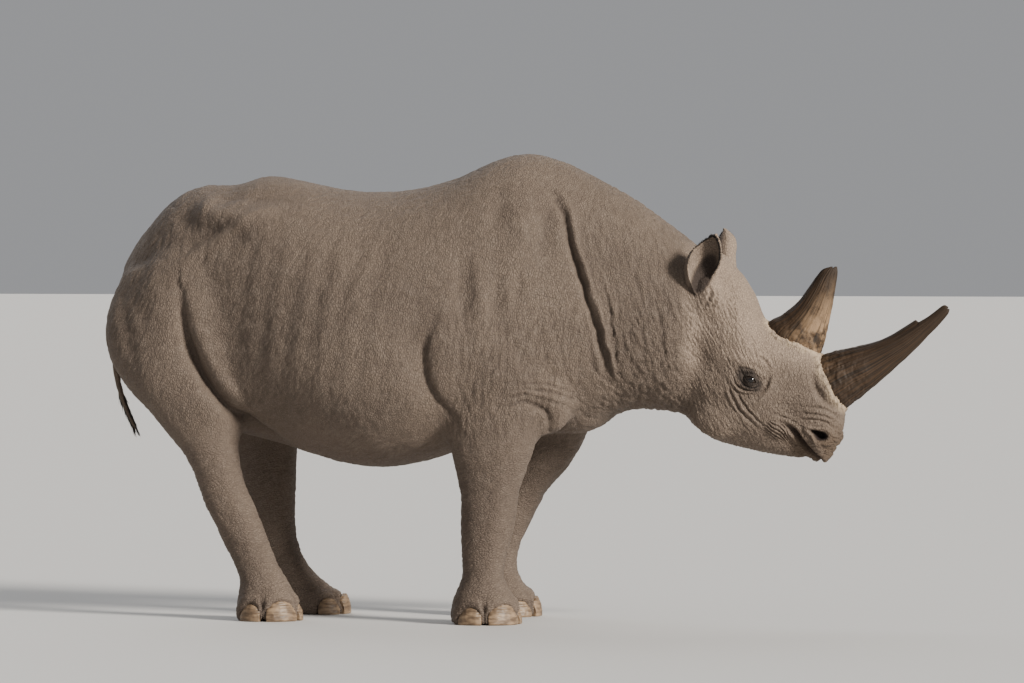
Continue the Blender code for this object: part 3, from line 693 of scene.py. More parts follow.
near_neck = fade(0.16, 0.34, x) * on_body
throat = near_neck * fade(0.27, 0.36, x) * (1 - fade(1.00, 1.14, z))
low = 1 - fade(0.52, 0.70, z)
lower_shoulder = window(-0.30, -0.12, 0.20, 0.36, x) * (1 - fade(0.95, 1.20, z)) * (1 - low)
rest = (1 - low) * (1 - near_neck) * on_body
upright = sheared(0, 0.30 * (z - 1) * near_neck)
climbing = sheared(2, -0.45 * x)
slanting = sheared(0, -0.45 * (z - 0.8))
BODY_WRINKLES = (
    # depth, where, the points that the noise is taken at, size of a wrinkle, how sharp
    (0.0026, near_neck, upright, (0.022, 0.06, 0.12), 0.13),
    (0.0016, near_neck, upright + 5, (0.011, 0.03, 0.06), 0.13),
    (0.0042, throat, upright + 11, (0.017, 0.05, 0.045), 0.17),
    (0.0026, lower_shoulder, points + 9, (0.020, 0.05, 0.09), 0.12),
    (0.0020, low, climbing + 2, (0.060, 0.060, 0.015), 0.12),
    (0.0010, low, climbing + 4, (0.030, 0.030, 0.009), 0.12),
    (0.0015, rest, slanting + 1, (0.030, 0.035, 0.060), 0.12),
    (0.0013, rest, slanting + 7, (0.018, 0.03, 0.045), 0.14),
)
carve(lift, BODY_WRINKLES)
lift += 0.0018 * rest * noise(points, 0.11)
print("body wrinkled in", len(BODY_WRINKLES), "ways")


# %% [markdown]
# ## The head
# Eyes sit low at the sides, in rings of creases. Over the nostrils the hide is drawn in cross
# folds, and the upper lip ends in a small hooked point that takes hold of twigs. The eyes and
# the collar round the horns are placed from the eyeballs and horns of the solid model; the other
# places are given as numbers.

# %% Head: creases, nostrils and mouth
def surface_of(node_names):
    work = joined(node_names)
    tree = BVHTree.FromBMesh(work)
    work.free()
    return tree


on_head = fade(0.56, 0.62, x)
head = on_head * (1 - fade(1.10, 1.16, z) * fade(0.10, 0.13, np.abs(y)))
HEAD_FORMS = (
    ((0.640, 0.890), (0.040, 0.050), -0.012, 20),  # hollow of the temple
    ((0.720, 0.760), (0.060, 0.022), 0.004, -20),  # cheek bone
    ((0.845, 0.900), (0.060, 0.030), 0.004, -20),
    ((0.930, 0.700), (0.045, 0.030), -0.006, -30),  # before the horn, above the nostril
    ((0.800, 0.806), (0.048, 0.036), -0.006, -20),  # eye socket
    (MOUTH_CORNER, (0.036, 0.024), 0.008, -20),  # swollen
    ((0.770, 0.870), (0.050, 0.022), 0.007, -12),  # brow
    ((0.700, 0.830), (0.030, 0.040), -0.006, 10),
    ((0.905, 0.800), (0.030, 0.060), -0.004, 10),
)
for place, radii, height, turn in HEAD_FORMS:
    lift += form(flat, place, radii, height, turn) * outward * head
NOSTRIL_WING = ((0.965, 0.640), (1.008, 0.597), (1.034, 0.560))
HEAD_FOLDS = (
    # line, depth, width, lip
    (((0.728, 0.812), (0.755, 0.730), (0.787, 0.687), (0.828, 0.645)), 0.0075, 0.0055, 0.003),
    (((0.750, 0.790), (0.777, 0.737), (0.807, 0.694), (0.850, 0.650)), 0.0060, 0.0045, 0.002),
    (((0.712, 0.790), (0.735, 0.730), (0.765, 0.685)), 0.0040, 0.0045, 0.002),
    (((0.866, 0.822), (0.858, 0.790), (0.846, 0.768), (0.822, 0.744)), 0.0110, 0.0058, 0.003),
    (((0.748, 0.822), (0.757, 0.797), (0.782, 0.778), (0.812, 0.772), (0.842, 0.782)),
     0.0055, 0.0042, 0.003),
    (((0.736, 0.806), (0.752, 0.778), (0.784, 0.760), (0.822, 0.760)), 0.0040, 0.0045, 0.002),
    (((0.762, 0.846), (0.786, 0.847), (0.812, 0.840), (0.838, 0.824)), 0.0045, 0.0042, 0.002),
    (((0.956, 0.724), (1.028, 0.717), (1.069, 0.699), (1.092, 0.672)), 0.0050, 0.0045, 0.002),
    (((0.940, 0.702), (1.000, 0.698), (1.050, 0.688), (1.080, 0.664)), 0.0035, 0.0040, 0.002),
    (((0.960, 0.680), (1.010, 0.678), (1.050, 0.668), (1.080, 0.645)), 0.0050, 0.0045, 0.002),
    (((0.860, 0.700), (0.900, 0.690), (0.940, 0.668)), 0.0035, 0.0040, 0.001),
    (((1.000, 0.830), (1.016, 0.780), (1.043, 0.744), (1.084, 0.712)), 0.0150, 0.0110, 0.0),
    (((0.817, 0.891), (0.846, 0.875), (0.868, 0.845)), 0.0030, 0.0040, 0.001),
    (((0.655, 1.130), (0.676, 1.105), (0.670, 1.070), (0.648, 1.045)), 0.0070, 0.0060, 0.003),
    (((0.672, 1.140), (0.695, 1.105), (0.688, 1.060), (0.662, 1.030)), 0.0050, 0.0050, 0.002),
    (NOSTRIL_WING, -0.0080, 0.0120, 0.0),
)
wavering = wandering(0.004, 0.02)
for line, depth, width, lip in HEAD_FOLDS:
    lift += fold(wavering, line, depth, width, lip) * head * fade(0.1, 0.4, np.abs(normals[:, 1]))

leaning = sheared(0, 0.45 * (z - 0.8))
cheek = head * (1 - fade(0.78, 0.88, x))
under_brow = head * (1 - 0.4 * fade(0.72, 0.80, x) * fade(0.80, 0.88, z))
muzzle = head * fade(0.84, 0.92, x) * (1 - fade(0.72, 0.80, z))
snout = head * fade(1.035, 1.060, x) * (1 - fade(0.64, 0.67, z))
HEAD_WRINKLES = (
    (0.0020, cheek, leaning, (0.011, 0.03, 0.060), 0.13),
    (0.0009, under_brow, points + 5, (0.012, 0.012, 0.018), 0.12),
    (0.0014, under_brow, leaning + 8, (0.006, 0.012, 0.026), 0.14),
    (0.0018, muzzle, points + 6, (0.030, 0.030, 0.010), 0.13),
    (0.0030, snout, points + 3, (0.040, 0.040, 0.012), 0.16),
)
carve(lift, HEAD_WRINKLES)

# lines that bend round the corner of the mouth, side by side
CORNER_SPACING = 0.0095
off = flat - MOUTH_CORNER
crossing = 0.82 * off[:, 1] + 0.57 * off[:, 0]
following = 0.82 * off[:, 0] - 0.57 * off[:, 1]
bent = crossing + 5.0 * (following + 0.010) ** 2
corner_shows = head * (1 - fade(0.55, 1.15, np.hypot(following / 0.050, crossing / 0.032)))
line_wave = np.cos(2 * math.pi * bent / CORNER_SPACING + 7 * noise(points, 0.030))
lift += 0.0036 * line_wave * corner_shows

mouth_far, _, mouth_share = distance_to_line(flat, MOUTH)
in_mouth = head * (z < 0.70) * (x > 0.88)
in_mouth *= 1 - 0.85 * fade(0.55, 1.0, mouth_share)
lift += in_mouth * (0.006 * hump(mouth_far - 0.016, 0.008) - 0.021 * hump(mouth_far, 0.0076))

NOSTRIL_SLOPE = math.radians(24)
# painted shade inside the nostrils
nostril_painted_shade = np.zeros(len(points))
for side in SIDES.values():
    off = points - NOSTRIL * (1, side, 1)
    a = off[:, 0] * math.cos(NOSTRIL_SLOPE) - off[:, 2] * math.sin(NOSTRIL_SLOPE)
    b = off[:, 2] * math.cos(NOSTRIL_SLOPE) + off[:, 0] * math.sin(NOSTRIL_SLOPE)
    b += 0.004 * hump(a, 0.015)
    near = head * (np.abs(off[:, 1]) < 0.07)
    size = np.hypot(a / 0.031, b / (0.0085 + 0.0085 * fade(-0.028, 0.010, a)))
    lift += near * (0.007 * hump(size - 1.55, 0.40) - 0.032 * (1 - fade(0.45, 1.10, size)))
    nostril_painted_shade = np.maximum(nostril_painted_shade, near * (1 - fade(0.85, 1.15, size)))

# the frayed collar of hide that the horns grow out of
HORN_REACH = 0.06
horns = surface_of(["horn_rear", "horn_front"])
close = np.flatnonzero((x > 0.76) & (z > 0.66))
from_horn = np.full(len(points), 1.0)
from_horn[close] = [horns.find_nearest(Vector(p), HORN_REACH)[3] or 1.0 for p in points[close]]
collar = 1 - fade(0.008, 0.036, from_horn)
lift += collar * (0.0050 * noise(points, 0.009) + 0.0045 * noise(points, 0.022))
lift += 0.005 * hump(from_horn - 0.012, 0.009)
print("mouth and nostrils: deepest", round(lift.min(), 4))


# %% [markdown]
# The eyelids are the part of the face that one looks at first. The skin near each eyeball is laid
# over it as a slightly larger ball, and inside an almond opening it is drawn back behind the
# eyeball, so that the eye shows between two thick lids. Creases ring the eye, most of all below.

# %% Eyelids
LID = 0.0035  # thickness of a lid
OPENING = (0.0205, 0.0105)  # half the length and half the height of the opening
LOWER = 0.85  # how far the lower lid opens, as a share of the upper one
SUNK = 0.006  # how far behind the eyeball's front the skin is drawn back
EYE_SLANT = math.radians(-24)
EYE_REACH = 0.075  # all of the socket
# painted shade round each eye: in the gap between the lids and over the socket under the brow
eye_painted_shade = np.zeros(len(points))
points += normals * lift[:, None]
for side in SIDES.values():
    out = unit(np.array((0.20, side, 0.05)))
    along = np.array((math.cos(EYE_SLANT), 0, math.sin(EYE_SLANT)))
    along = unit(along - out * (along @ out))
    up = np.cross(out, along)
    up *= np.sign(up[2])
    off = points - EYE[side]
    a, b, depth = off @ along, off @ up, off @ out
    across = np.hypot(a, b)
    near = (across < EYE_REACH) & (depth > -0.04)
    ring = np.hypot(a, b * 1.25)
    ring += 0.0060 * noise(points, 0.030) + 0.0022 * noise(points, 0.011)
    crease = np.cos(2 * math.pi * (ring - 0.0275) / (0.0080 + 0.10 * ring))
    shown = window(0.020, 0.026, 0.030, 0.052, ring)
    shown *= 0.15 + 0.85 * (1 - fade(-0.020, 0.002, b))
    brow = 0.011 * hump(b - 0.026 - 0.15 * a, 0.011) * hump(a + 0.003, 0.036)
    grown = depth + 0.0022 * crease * shown + brow
    lid_ball = np.sqrt(np.maximum((EYE_RADIUS + LID) ** 2 - across**2, 0))
    cover = 1 - fade(0.85 * EYE_RADIUS, 1.5 * EYE_RADIUS, across)
    lidded = grown * (1 - cover) + np.maximum(lid_ball, grown - 0.003) * cover
    almond = OPENING[1] * (1 - (np.abs(a) / OPENING[0]) ** 2.2)
    almond = np.where(b > 0, almond, LOWER * almond)
    inside = almond - np.abs(b)
    opened = fade(-0.0006, 0.0012, inside) * (np.abs(a) < OPENING[0] * 1.1)
    behind = np.sqrt(np.maximum(EYE_RADIUS**2 - across**2, 0)) - SUNK
    upper_crease = hump(np.abs(b - almond - 0.0055), 0.0016) * (b > 0)
    lower_crease = hump(np.abs(-b - LOWER * almond - 0.0050), 0.0014) * (b < 0)
    creased = (upper_crease + 0.7 * lower_crease) * (np.abs(a) < 0.023)
    lidded -= 0.0024 * creased
    lidded += 0.0010 * hump(inside + 0.0020, 0.0016)
    target = lidded * (1 - opened) + behind * opened
    points[near] += (out * (target - depth)[:, None])[near]
    # painted shade in the gap between the lids
    eye_painted_shade = np.maximum(eye_painted_shade, near * (1 - fade(0.0015, 0.0120, -inside)))
    patchy = 0.012 * noise(points, 0.022) + 0.006 * noise(points, 0.008)
    socket = np.hypot((a + 0.004 + 0.35 * b) / 0.055, (b + 0.001 + patchy) / 0.039)
    # painted shade over the socket, a little lighter on the ridges between the creases
    shaded = (0.94 - 0.25 * crease * shown) * (1 - fade(0.62, 1.12, socket))
    eye_painted_shade = np.maximum(eye_painted_shade, near * shaded)
set_points(skin.data, points)
print("opening of the eye", 2 * OPENING[0], "by", 2 * OPENING[1])


# %% [markdown]
# ## Nail beds
# A toenail stands in the foot like a shell in putty. The skin is drawn in behind each nail, swells
# to a toe above it, and sinks to a groove where two nails are equally near.

# %% Nail beds
def signed_distance(tree, points):
    """Distance from a closed surface, below zero inside it."""
    found = np.empty(len(points))
    for i, point in enumerate(points):
        spot, normal, _, far = tree.find_nearest(Vector(point))
        inside = (Vector(point) - spot).dot(normal) < 0
        found[i] = -far if inside else far
    return found


NAILS = [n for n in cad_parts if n.startswith("nail")]
NAIL_THICK = 0.03  # no point of the skin is deeper in a nail than half of this
FOOT_TOP = 0.115
FLOOR_PLAY = 0.004  # points this near the floor are pressed flat on it
normals = normals_of(skin.data)
low_points = np.flatnonzero(z < FOOT_TOP)
spots = points[low_points]
from_nails = np.array([signed_distance(surface_of([n]), spots) for n in NAILS])
# where one seems to be, it is far outside and the nearest edge has misled the sign
from_nails = np.where(from_nails < -NAIL_THICK / 2, -from_nails, from_nails)
from_nails.sort(axis=0)
far, second = from_nails[0], from_nails[1]
draw_in = -0.009 * (1 - fade(-0.001, 0.006, far)) + 0.0025 * hump(far - 0.009, 0.005)
draw_in += 0.006 * hump(far - 0.020, 0.014) * fade(0.004, 0.018, second - far)
draw_in -= 0.012 * hump(second - far, 0.010) * (1 - fade(0.008, 0.028, far))
points[low_points] += normals[low_points] * draw_in[:, None]
points[:, 2] = np.where(z < FLOOR_PLAY, np.maximum(z, 0.0), z)
set_points(skin.data, points)
print("toes: points near the nails", int((far < 0.02).sum()))


# %% [markdown]
# ## Pieces that stay separate
# Toenails are the solid ones, divided more finely and rounded, with the growth rings that run
# along them. They stay in the beds cut for them.

# %% Toenails
GROWTH = 0.0085  # from one growth ring to the next
nail_pieces = []
for node in NAILS:
    nail = joined_copy(node + "_fine", [node])
    with_modifier(nail, "SUBSURF", subdivision_type="SIMPLE", levels=3, render_levels=3)
    set_points(nail.data, relaxed(points_of(nail.data), edges_of(nail.data), 12))
    nail.data.shade_smooth()
    at = points_of(nail.data)
    rings = np.cos(2 * math.pi * (at[:, 2] + 0.003 * noise(at, 0.03)) / GROWTH)
    rough = 0.0006 * rings * fade(0.010, 0.020, at[:, 2]) + 0.0012 * noise(at, 0.012)
    at += normals_of(nail.data) * rough[:, None]
    at[:, 2] = np.maximum(at[:, 2], 0)
    set_points(nail.data, at)
    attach(nail, "root")
    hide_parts(node)
    nail_pieces.append(nail)
print(len(nail_pieces), "toenails")

# %% [markdown]
# Horns have no bone in them. They are packed fibres that grow from the skin: grooved along their
# length, frayed and knobbly at the base, rubbed smooth and split at the tip.

# %% Horns
REAR_HORN = (
    # upper edge x, z, lower edge x, z, sideways place, half width
    (0.998, 0.860, 0.820, 0.955, 0.0, 0.058),
    (1.018, 0.910, 0.831, 0.994, 0.0, 0.060),
    (1.032, 0.969, 0.886, 1.026, 0.0, 0.050),
    (1.046, 1.028, 0.933, 1.065, 0.0, 0.039),
    (1.056, 1.083, 0.969, 1.110, 0.0, 0.029),
    (1.064, 1.134, 0.997, 1.151, 0.0, 0.020),
    (1.068, 1.163, 1.018, 1.172, 0.0, 0.013),
    (1.066, 1.181, 1.044, 1.181, 0.0, 0.006),
)
FRONT_HORN = (
    (0.966, 0.855, 1.048, 0.698, 0.0, 0.070),
    (1.018, 0.889, 1.106, 0.722, 0.0, 0.079),
    (1.074, 0.907, 1.161, 0.764, 0.0, 0.066),
    (1.143, 0.922, 1.210, 0.803, 0.0, 0.053),
    (1.210, 0.940, 1.264, 0.851, 0.0, 0.042),
    (1.278, 0.967, 1.316, 0.898, 0.0, 0.032),
    (1.336, 0.998, 1.363, 0.945, 0.0, 0.023),
    (1.385, 1.030, 1.404, 0.988, 0.0, 0.016),
    (1.420, 1.054, 1.434, 1.024, 0.0, 0.010),
    (1.436, 1.050, 1.441, 1.040, 0.0, 0.005),
)
HORN_STEPS = 26
HORN_AROUND = 160
STRAND = 1.2  # length of a fibre in the space of its own that noise is taken in
# how tan a horn is low down, and between which shares of its length that ends
TAN = {"horn_rear": (0.95, 0.20, 0.85), "horn_front": (0.28, 0.0, 0.30)}
TIP_NOTCH = {"horn_rear": (-0.05, 0.042), "horn_front": (0.10, 0.028)}
horn_pieces = []
for node, table in (("horn_rear", REAR_HORN), ("horn_front", FRONT_HORN)):
    rings = edge_rings(smooth_rows(table, HORN_STEPS), HORN_AROUND)
    count = len(rings)
    share = np.repeat(np.linspace(0, 1, count), HORN_AROUND)
    turn = np.tile(turns_of(HORN_AROUND), count)
    from_top = (turn + math.pi) % (2 * math.pi) - math.pi
    at = rings.reshape(-1, 3)
    middles = rings.mean(1)
    out = unit(at - np.repeat(middles, HORN_AROUND, axis=0))
    axis = unit(np.repeat(np.gradient(middles, axis=0), HORN_AROUND, axis=0))
    strand = np.stack((np.cos(turn), np.sin(turn), STRAND * share), 1)
    base = 1 - fade(0.12, 0.45, share)
    swell = -0.0020 * wrinkles(strand, (0.085, 0.085, 0.7), 0.16) * (1 - 0.5 * share)
    swell -= 0.0010 * wrinkles(strand + 4, (0.040, 0.040, 0.4), 0.16)
    warped = at + 0.012 * np.stack([noise(at + k, 0.024) for k in (0, 3, 6)], 1)
    swell += base * (0.0034 * noise(warped, (0.008, 0.008, 0.016)) + 0.0055 * noise(warped, 0.030))
    swell += 0.0024 * noise(at, 0.05)
    if node == "horn_front":
        split = window(0.42, 0.66, 0.66, 0.672, share)
        swell += 0.0115 * split * hump(from_top, 0.34)
        swell -= 0.0040 * split * hump(np.abs(from_top) - 0.55, 0.10)
    place, depth = TIP_NOTCH[node]
    notch = depth * fade(0.93, 1.0, share) * hump(np.cos(turn) - place, 0.26)
    at = at + out * swell[:, None] - axis * notch[:, None]
    horn = loft(node + "_fine", at.reshape(count, HORN_AROUND, 3))
    made = horn.data.attributes.new("strand", "FLOAT_VECTOR", "POINT")
    ends = np.array(((0, 0, 0), (0, 0, STRAND)))
    made.data.foreach_set("vector", np.vstack((strand, ends)).astype(np.float32).ravel())
    most, low_end, high_end = TAN[node]
    tan = most * (1 - fade(low_end, high_end, share)) * fade(-0.6, 0.9, np.cos(turn))
    mask(horn.data, "tan", np.append(tan, (0, 0)))
    horn.data.shade_smooth()
    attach(horn, "root")
    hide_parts(node)
    horn_pieces.append(horn)
print("horns:", [len(h.data.vertices) for h in horn_pieces], "points")

# %% Eyes
eye_pieces = []
for word, side in SIDES.items():
    work = bmesh.new()
    bmesh.ops.create_uvsphere(work, u_segments=64, v_segments=40, radius=EYE_RADIUS)
    mesh = bpy.data.meshes.new("eyeball_" + word)
    work.to_mesh(mesh)
    work.free()
    ball = linked("eyeball_" + word, mesh)
    ball.location = Vector(EYE[side])
    look = Vector((0.30, side, -0.02))
    ball.rotation_mode = "QUATERNION"
    ball.rotation_quaternion = look.to_track_quat("Z", "Y")
    at = points_of(mesh)
    shape = 1 + 0.035 * fade(0.80, 1.0, at[:, 2] / EYE_RADIUS)
    set_points(mesh, at * shape[:, None])
    mesh.shade_smooth()
    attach(ball, "root")
    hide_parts("eye_" + word)
    eye_pieces.append(ball)

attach(skin, "root")
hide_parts(*FLESH)

# %% [markdown]
# ## Hair
# A rhinoceros is nearly bare: it has only a dark fringe round its ears, some hair inside them, and
# stiff bristles on both edges of the tail's tip. Each hair stands for a small lock, as a thin
# closed spike. Its map places it as a small patch where its root lies on the ear or the tail.

# %% Hair
SPIKE_RINGS = 5
CORNERS = np.radians((90, 210, 330))  # a spike has three sides


def spikes(name, roots, ways, lengths, width, places, droop):
    """Closed three-sided spikes, one for each root, bent downwards by the droop."""
    count = len(roots)
    share = np.linspace(0, 1, SPIKE_RINGS)[None, :, None]
    ways = unit(ways)
    across = unit(np.cross(ways, (0.1, 0.2, 1.0)))
    upright = np.cross(ways, across)
    line = roots[:, None] + ways[:, None] * lengths[:, None, None] * share
    line[:, :, 2] -= droop * lengths[:, None] * share[:, :, 0] ** 2
    ring = np.cos(CORNERS)[:, None] * across[:, None, None]
    ring = ring + np.sin(CORNERS)[:, None] * upright[:, None, None]
    points = line[:, :, None] + ring * (width * (1 - 0.96 * share**1.5))[..., None]
    first = (np.arange(count) * SPIKE_RINGS * 3)[:, None]
    quads = np.concatenate([
        first + 3 * k + np.array((a, b, 3 + b, 3 + a))
        for k in range(SPIKE_RINGS - 1)
        for a, b in ((0, 1), (1, 2), (2, 0))
    ])
    last = first + 3 * (SPIKE_RINGS - 1)
    caps = np.concatenate((first + np.array((2, 1, 0)), last + np.arange(3)))
    made = add_mesh_object(name, points.reshape(-1, 3), [*quads.tolist(), *caps.tolist()])
    face_outwards(made)
    patch = np.stack((np.cos(CORNERS), np.sin(CORNERS)), 1) * 0.0008
    at = places[:, None, None] + patch + (0, 0.0022) * share[..., None]
    at = np.clip(at, 0, 1).reshape(-1, 2)
    layer = made.data.uv_layers.new(name="OFBake")
    corner = read_rows(made.data.loops, "vertex_index", 1, np.int32)[:, 0]
    layer.uv.foreach_set("vector", at[corner].astype(np.float32).ravel())
    made.data.shade_smooth()
    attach(made, "root")
    return made


EAR_HAIRS = 900  # on each ear
hairs = []
for name, shift in (("ear_right", 0.0), ("ear_left", 0.5)):
    rim = ear_rims[name]
    middle, out = (np.array(v) for v in EAR_OPENINGS[name][:2])
    chance = 0.5 * fade(1.17, 1.24, rim[:, 2])
    if name == "ear_right":
        chance += fade(0.0, 0.03, rim[:, 0] - middle[0]) * fade(1.14, 1.18, rim[:, 2])
    else:
        chance *= fade(1.255, 1.275, rim[:, 2])
    chosen = rng.choice(len(rim), EAR_HAIRS, p=chance / chance.sum())
    roots = rim[chosen] + rng.normal(0, 0.0012, (EAR_HAIRS, 3))
    ways = roots - middle
    ways = unit(ways - np.outer(ways @ out, out))
    roots -= 0.003 * ways
    turn_round = np.arctan2(ways[:, 2], ways[:, 0]) / (2 * math.pi) + 0.5
    ways = ways + 0.35 * out + rng.normal(0, 0.30, ways.shape)
    high = (roots[:, 2] - 1.05) / 0.30
    places = np.stack((shift + 0.02 + 0.45 * turn_round, 0.02 + 0.94 * high), 1)
    hairs.append((roots, ways, rng.uniform(0.004, 0.012, EAR_HAIRS), places))
roots, ways, lengths, places = (np.concatenate(parts) for parts in zip(*hairs))
fringe = spikes("ear_fringe", roots, ways, lengths, 0.0008, places, 0.2)

BRISTLES = 420
TAIL_AROUND = 24
BARE = 0.66  # share of the tail's length that has no bristles
tail_rings = edge_rings(smooth_rows(TAIL, TAIL_STEPS), TAIL_AROUND)
tail_middle = tail_rings.mean(1)
ring_of = rng.integers(int(BARE * len(tail_rings)), len(tail_rings) - 1, BRISTLES)
front_or_rear = np.where(rng.random(BRISTLES) < 0.5, 0, TAIL_AROUND // 2)
turn_of = (front_or_rear + rng.integers(-2, 3, BRISTLES)) % TAIL_AROUND
roots = tail_rings[ring_of, turn_of]
ways = unit(roots - tail_middle[ring_of])
down = unit(tail_middle[ring_of + 1] - tail_middle[ring_of])
roots = roots - 0.002 * ways
ways = 0.18 * ways + down + rng.normal(0, 0.08, ways.shape)
lengths = rng.uniform(0.014, 0.034, BRISTLES)
places = 0.02 + 0.95 * np.stack((turn_of / TAIL_AROUND, ring_of / len(tail_rings)), 1)
bristles = spikes("tail_bristles", roots, ways, lengths, 0.0010, places, 0.1)
print("hairs:", 2 * EAR_HAIRS, "round the ears and", BRISTLES, "on the tail")

# %% [markdown]
# ## Materials
# Rhinoceros hide is grey, and takes the colour of the mud the animal wallows in. A fine net of
# cracks covers it, too small to model, so a bump carries it, and painted shade darkens its cracks.
# Dust lies on what faces upwards, and the head is paler with it. Painted shade darkens the folds,
# and painted light brightens the brow and forehead that face the key light. Masks for lids,
# nostrils, mouth and ear holes, painted shade in all of them and dark hair in the ears as well,
# come with the shape, as point values.

# %% A material built up node by node
class Look:
    """Its methods add nodes and give back an output, to be fed to the next one."""

    def __init__(self, name, roughness, specular, colour=None):
        self.material = bpy.data.materials.new(name)
        self.material.use_nodes = True
        self.tree = self.material.node_tree
        self.inputs = self.tree.nodes["Principled BSDF"].inputs
        self.feed(self.inputs["Roughness"], roughness)
        self.feed(self.inputs["Specular IOR Level"], specular)
        if colour:
            self.feed(self.inputs["Base Color"], colour)

    def feed(self, slot, value):
        """Links an output to a socket, or sets the socket to a constant."""
        if isinstance(value, bpy.types.NodeSocket):
            self.tree.links.new(value, slot)
        else:
            slot.default_value = (*value, 1.0) if slot.type == "RGBA" else value

    def node(self, kind, values, **settings):
        made = self.tree.nodes.new("ShaderNode" + kind)
        for name, value in settings.items():
            setattr(made, name, value)
        for name, value in values.items():
            self.feed(made.inputs[name], value)
        return made

    def place(self):
        return self.node("TexCoord", {}).outputs["Object"]

    def masked(self, name):
        return self.node("Attribute", {}, attribute_name=name).outputs["Fac"]

    def sums(self, operation, a, b):
        return self.node("Math", {0: a, 1: b}, operation=operation).outputs[0]

    def times(self, a, b):
        return self.sums("MULTIPLY", a, b)

    def plus(self, a, b):
        return self.sums("ADD", a, b)

    def mix(self, share, one, two):
        """Between two numbers."""
        return self.node("Mix", {0: share, 2: one, 3: two}).outputs[0]

    def blend(self, share, one, two):
        """Between two colours."""
        return self.node("Mix", {0: share, 6: one, 7: two}, data_type="RGBA").outputs[2]

    def ramp(self, value, low, high):
        values = {"Value": value, "From Min": low, "From Max": high}
        return self.node("MapRange", values, interpolation_type="SMOOTHSTEP").outputs[0]

    def scaled(self, vector, size, lean=0.0):
        """Stretched so that grains have that size, leaning by so many degrees."""
        values = {"Vector": vector, "Scale": size, "Rotation": (0, math.radians(lean), 0)}
        return self.node("Mapping", values, vector_type="TEXTURE").outputs[0]

    def noise(self, vector, scale, detail, roughness=0.5, output="Fac"):
        values = {"Vector": vector, "Scale": scale, "Detail": detail, "Roughness": roughness}
        return self.node("TexNoise", values).outputs[output]

    def finish(self, colour, height, strength, distance):
        self.feed(self.inputs["Base Color"], colour)
        values = {"Height": height, "Strength": strength, "Distance": distance}
        self.feed(self.inputs["Normal"], self.node("Bump", values).outputs[0])


# %% Masks of the skin
points = points_of(skin.data)
x, y, z = points.T
normals = normals_of(skin.data)
# painted shade: how far each point lies below its smoothed neighbours, to darken folds and creases
hollow = ((averaged(points, edges, 14) - points) * normals).sum(1)
uneven = z + 0.020 * noise(points, 0.045) + 0.010 * noise(points, 0.016)
lip = on_head * (1 - fade(0.59, 0.66, uneven)) * fade(0.88, 0.97, x)
nose = head * fade(1.015, 1.065, x) * (1 - fade(0.59, 0.71, uneven))
lip = np.maximum(lip, nose)
lip *= 1 - 0.8 * np.clip(fold(flat, NOSTRIL_WING, -1.0, 0.014), 0, 1)
HOLE_LEAN = 14  # the dark hole leans more than the opening it lies in
# dark hair inside the ears, and painted shade deep in their holes
in_ear = np.zeros(len(points))
for middle, out, lean, half_length, half_breadth, _ in EAR_OPENINGS.values():
    out, along, side = ear_axes(out, lean + HOLE_LEAN)
    off = points - np.array(middle)
    a = off @ along + 0.12 * half_length + 0.006 * noise(points, 0.012)
    b = off @ side - 0.24 * half_breadth + 0.004 * noise(points + 2, 0.008)
    deep = off @ out
    size = np.hypot(a / (0.70 * half_length), b / (0.62 * half_breadth))
    shown = (1 - fade(0.75, 1.15, size)) * window(-0.080, -0.066, -0.010, 0.012, deep)
    in_ear = np.maximum(in_ear, shown * fade(-0.35, 0.1, normals @ out))
# painted light: brow and forehead that face the front and upwards, where the key light falls
forehead_facing_light = fade(0.1, 0.7, normals[:, 0] + 0.6 * normals[:, 2]) * fade(0.80, 0.90, z)
MASKS = {
    "hollow": fade(-0.0015, 0.0040, hollow),
    "painted_eye_shade": eye_painted_shade,
    "nostril": nostril_painted_shade,
    # painted shade along the groove of the mouth
    "mouth": in_mouth * (1 - fade(0.004, 0.013, mouth_far)),
    "lip": lip,
    "collar": collar,
    "leg": low,
    "ear_hole": in_ear,
    # the head paler with dust, and painted light on the forehead that faces the key light
    "face": on_head * (0.22 + 0.78 * forehead_facing_light),
}
for name, values in MASKS.items():
    mask(skin.data, name, values)
print("masks of the skin:", *MASKS)

# %% Skin
hide = Look("hide", 0.78, 0.35)
place = hide.place()
wander = hide.noise(place, 22.0, 2.0, output="Color")
shift = hide.node("VectorMath", {0: wander, "Scale": 0.010}, operation="SCALE").outputs[0]
moved = hide.node("VectorMath", {0: place, 1: shift}, operation="ADD").outputs[0]


def net(size, lean, thick):
    """A net of cracks round grains of that size: 0 in a crack, 1 on a grain."""
    values = {"Vector": hide.scaled(moved, size, lean), "Scale": 1.0}
    cells = hide.node("TexVoronoi", values, feature="DISTANCE_TO_EDGE")
    return hide.ramp(cells.outputs["Distance"], 0.0, thick)


def streaks(size, lean):
    """Long soft ridges of that size."""
    return hide.noise(hide.scaled(place, size, lean), 1.0, 3.0, 0.6)


leg = hide.masked("leg")
upright_net = net((0.0064, 0.0064, 0.0122), 22, 0.26)
ring_net = net((0.0125, 0.0125, 0.0056), -22, 0.26)
fine_net = net((0.0042, 0.0042, 0.0066), -15, 0.30)
upright_streaks = streaks((0.0055, 0.0055, 0.018), 26)
ring_streaks = streaks((0.020, 0.020, 0.0048), -22)
grain = hide.mix(leg, upright_net, ring_net)
ridges = hide.ramp(hide.mix(leg, upright_streaks, ring_streaks), 0.38, 0.60)
cracks = hide.plus(hide.times(grain, 0.70), hide.times(ridges, 0.30))
relief = hide.plus(hide.times(cracks, 0.85), hide.times(fine_net, 0.15))

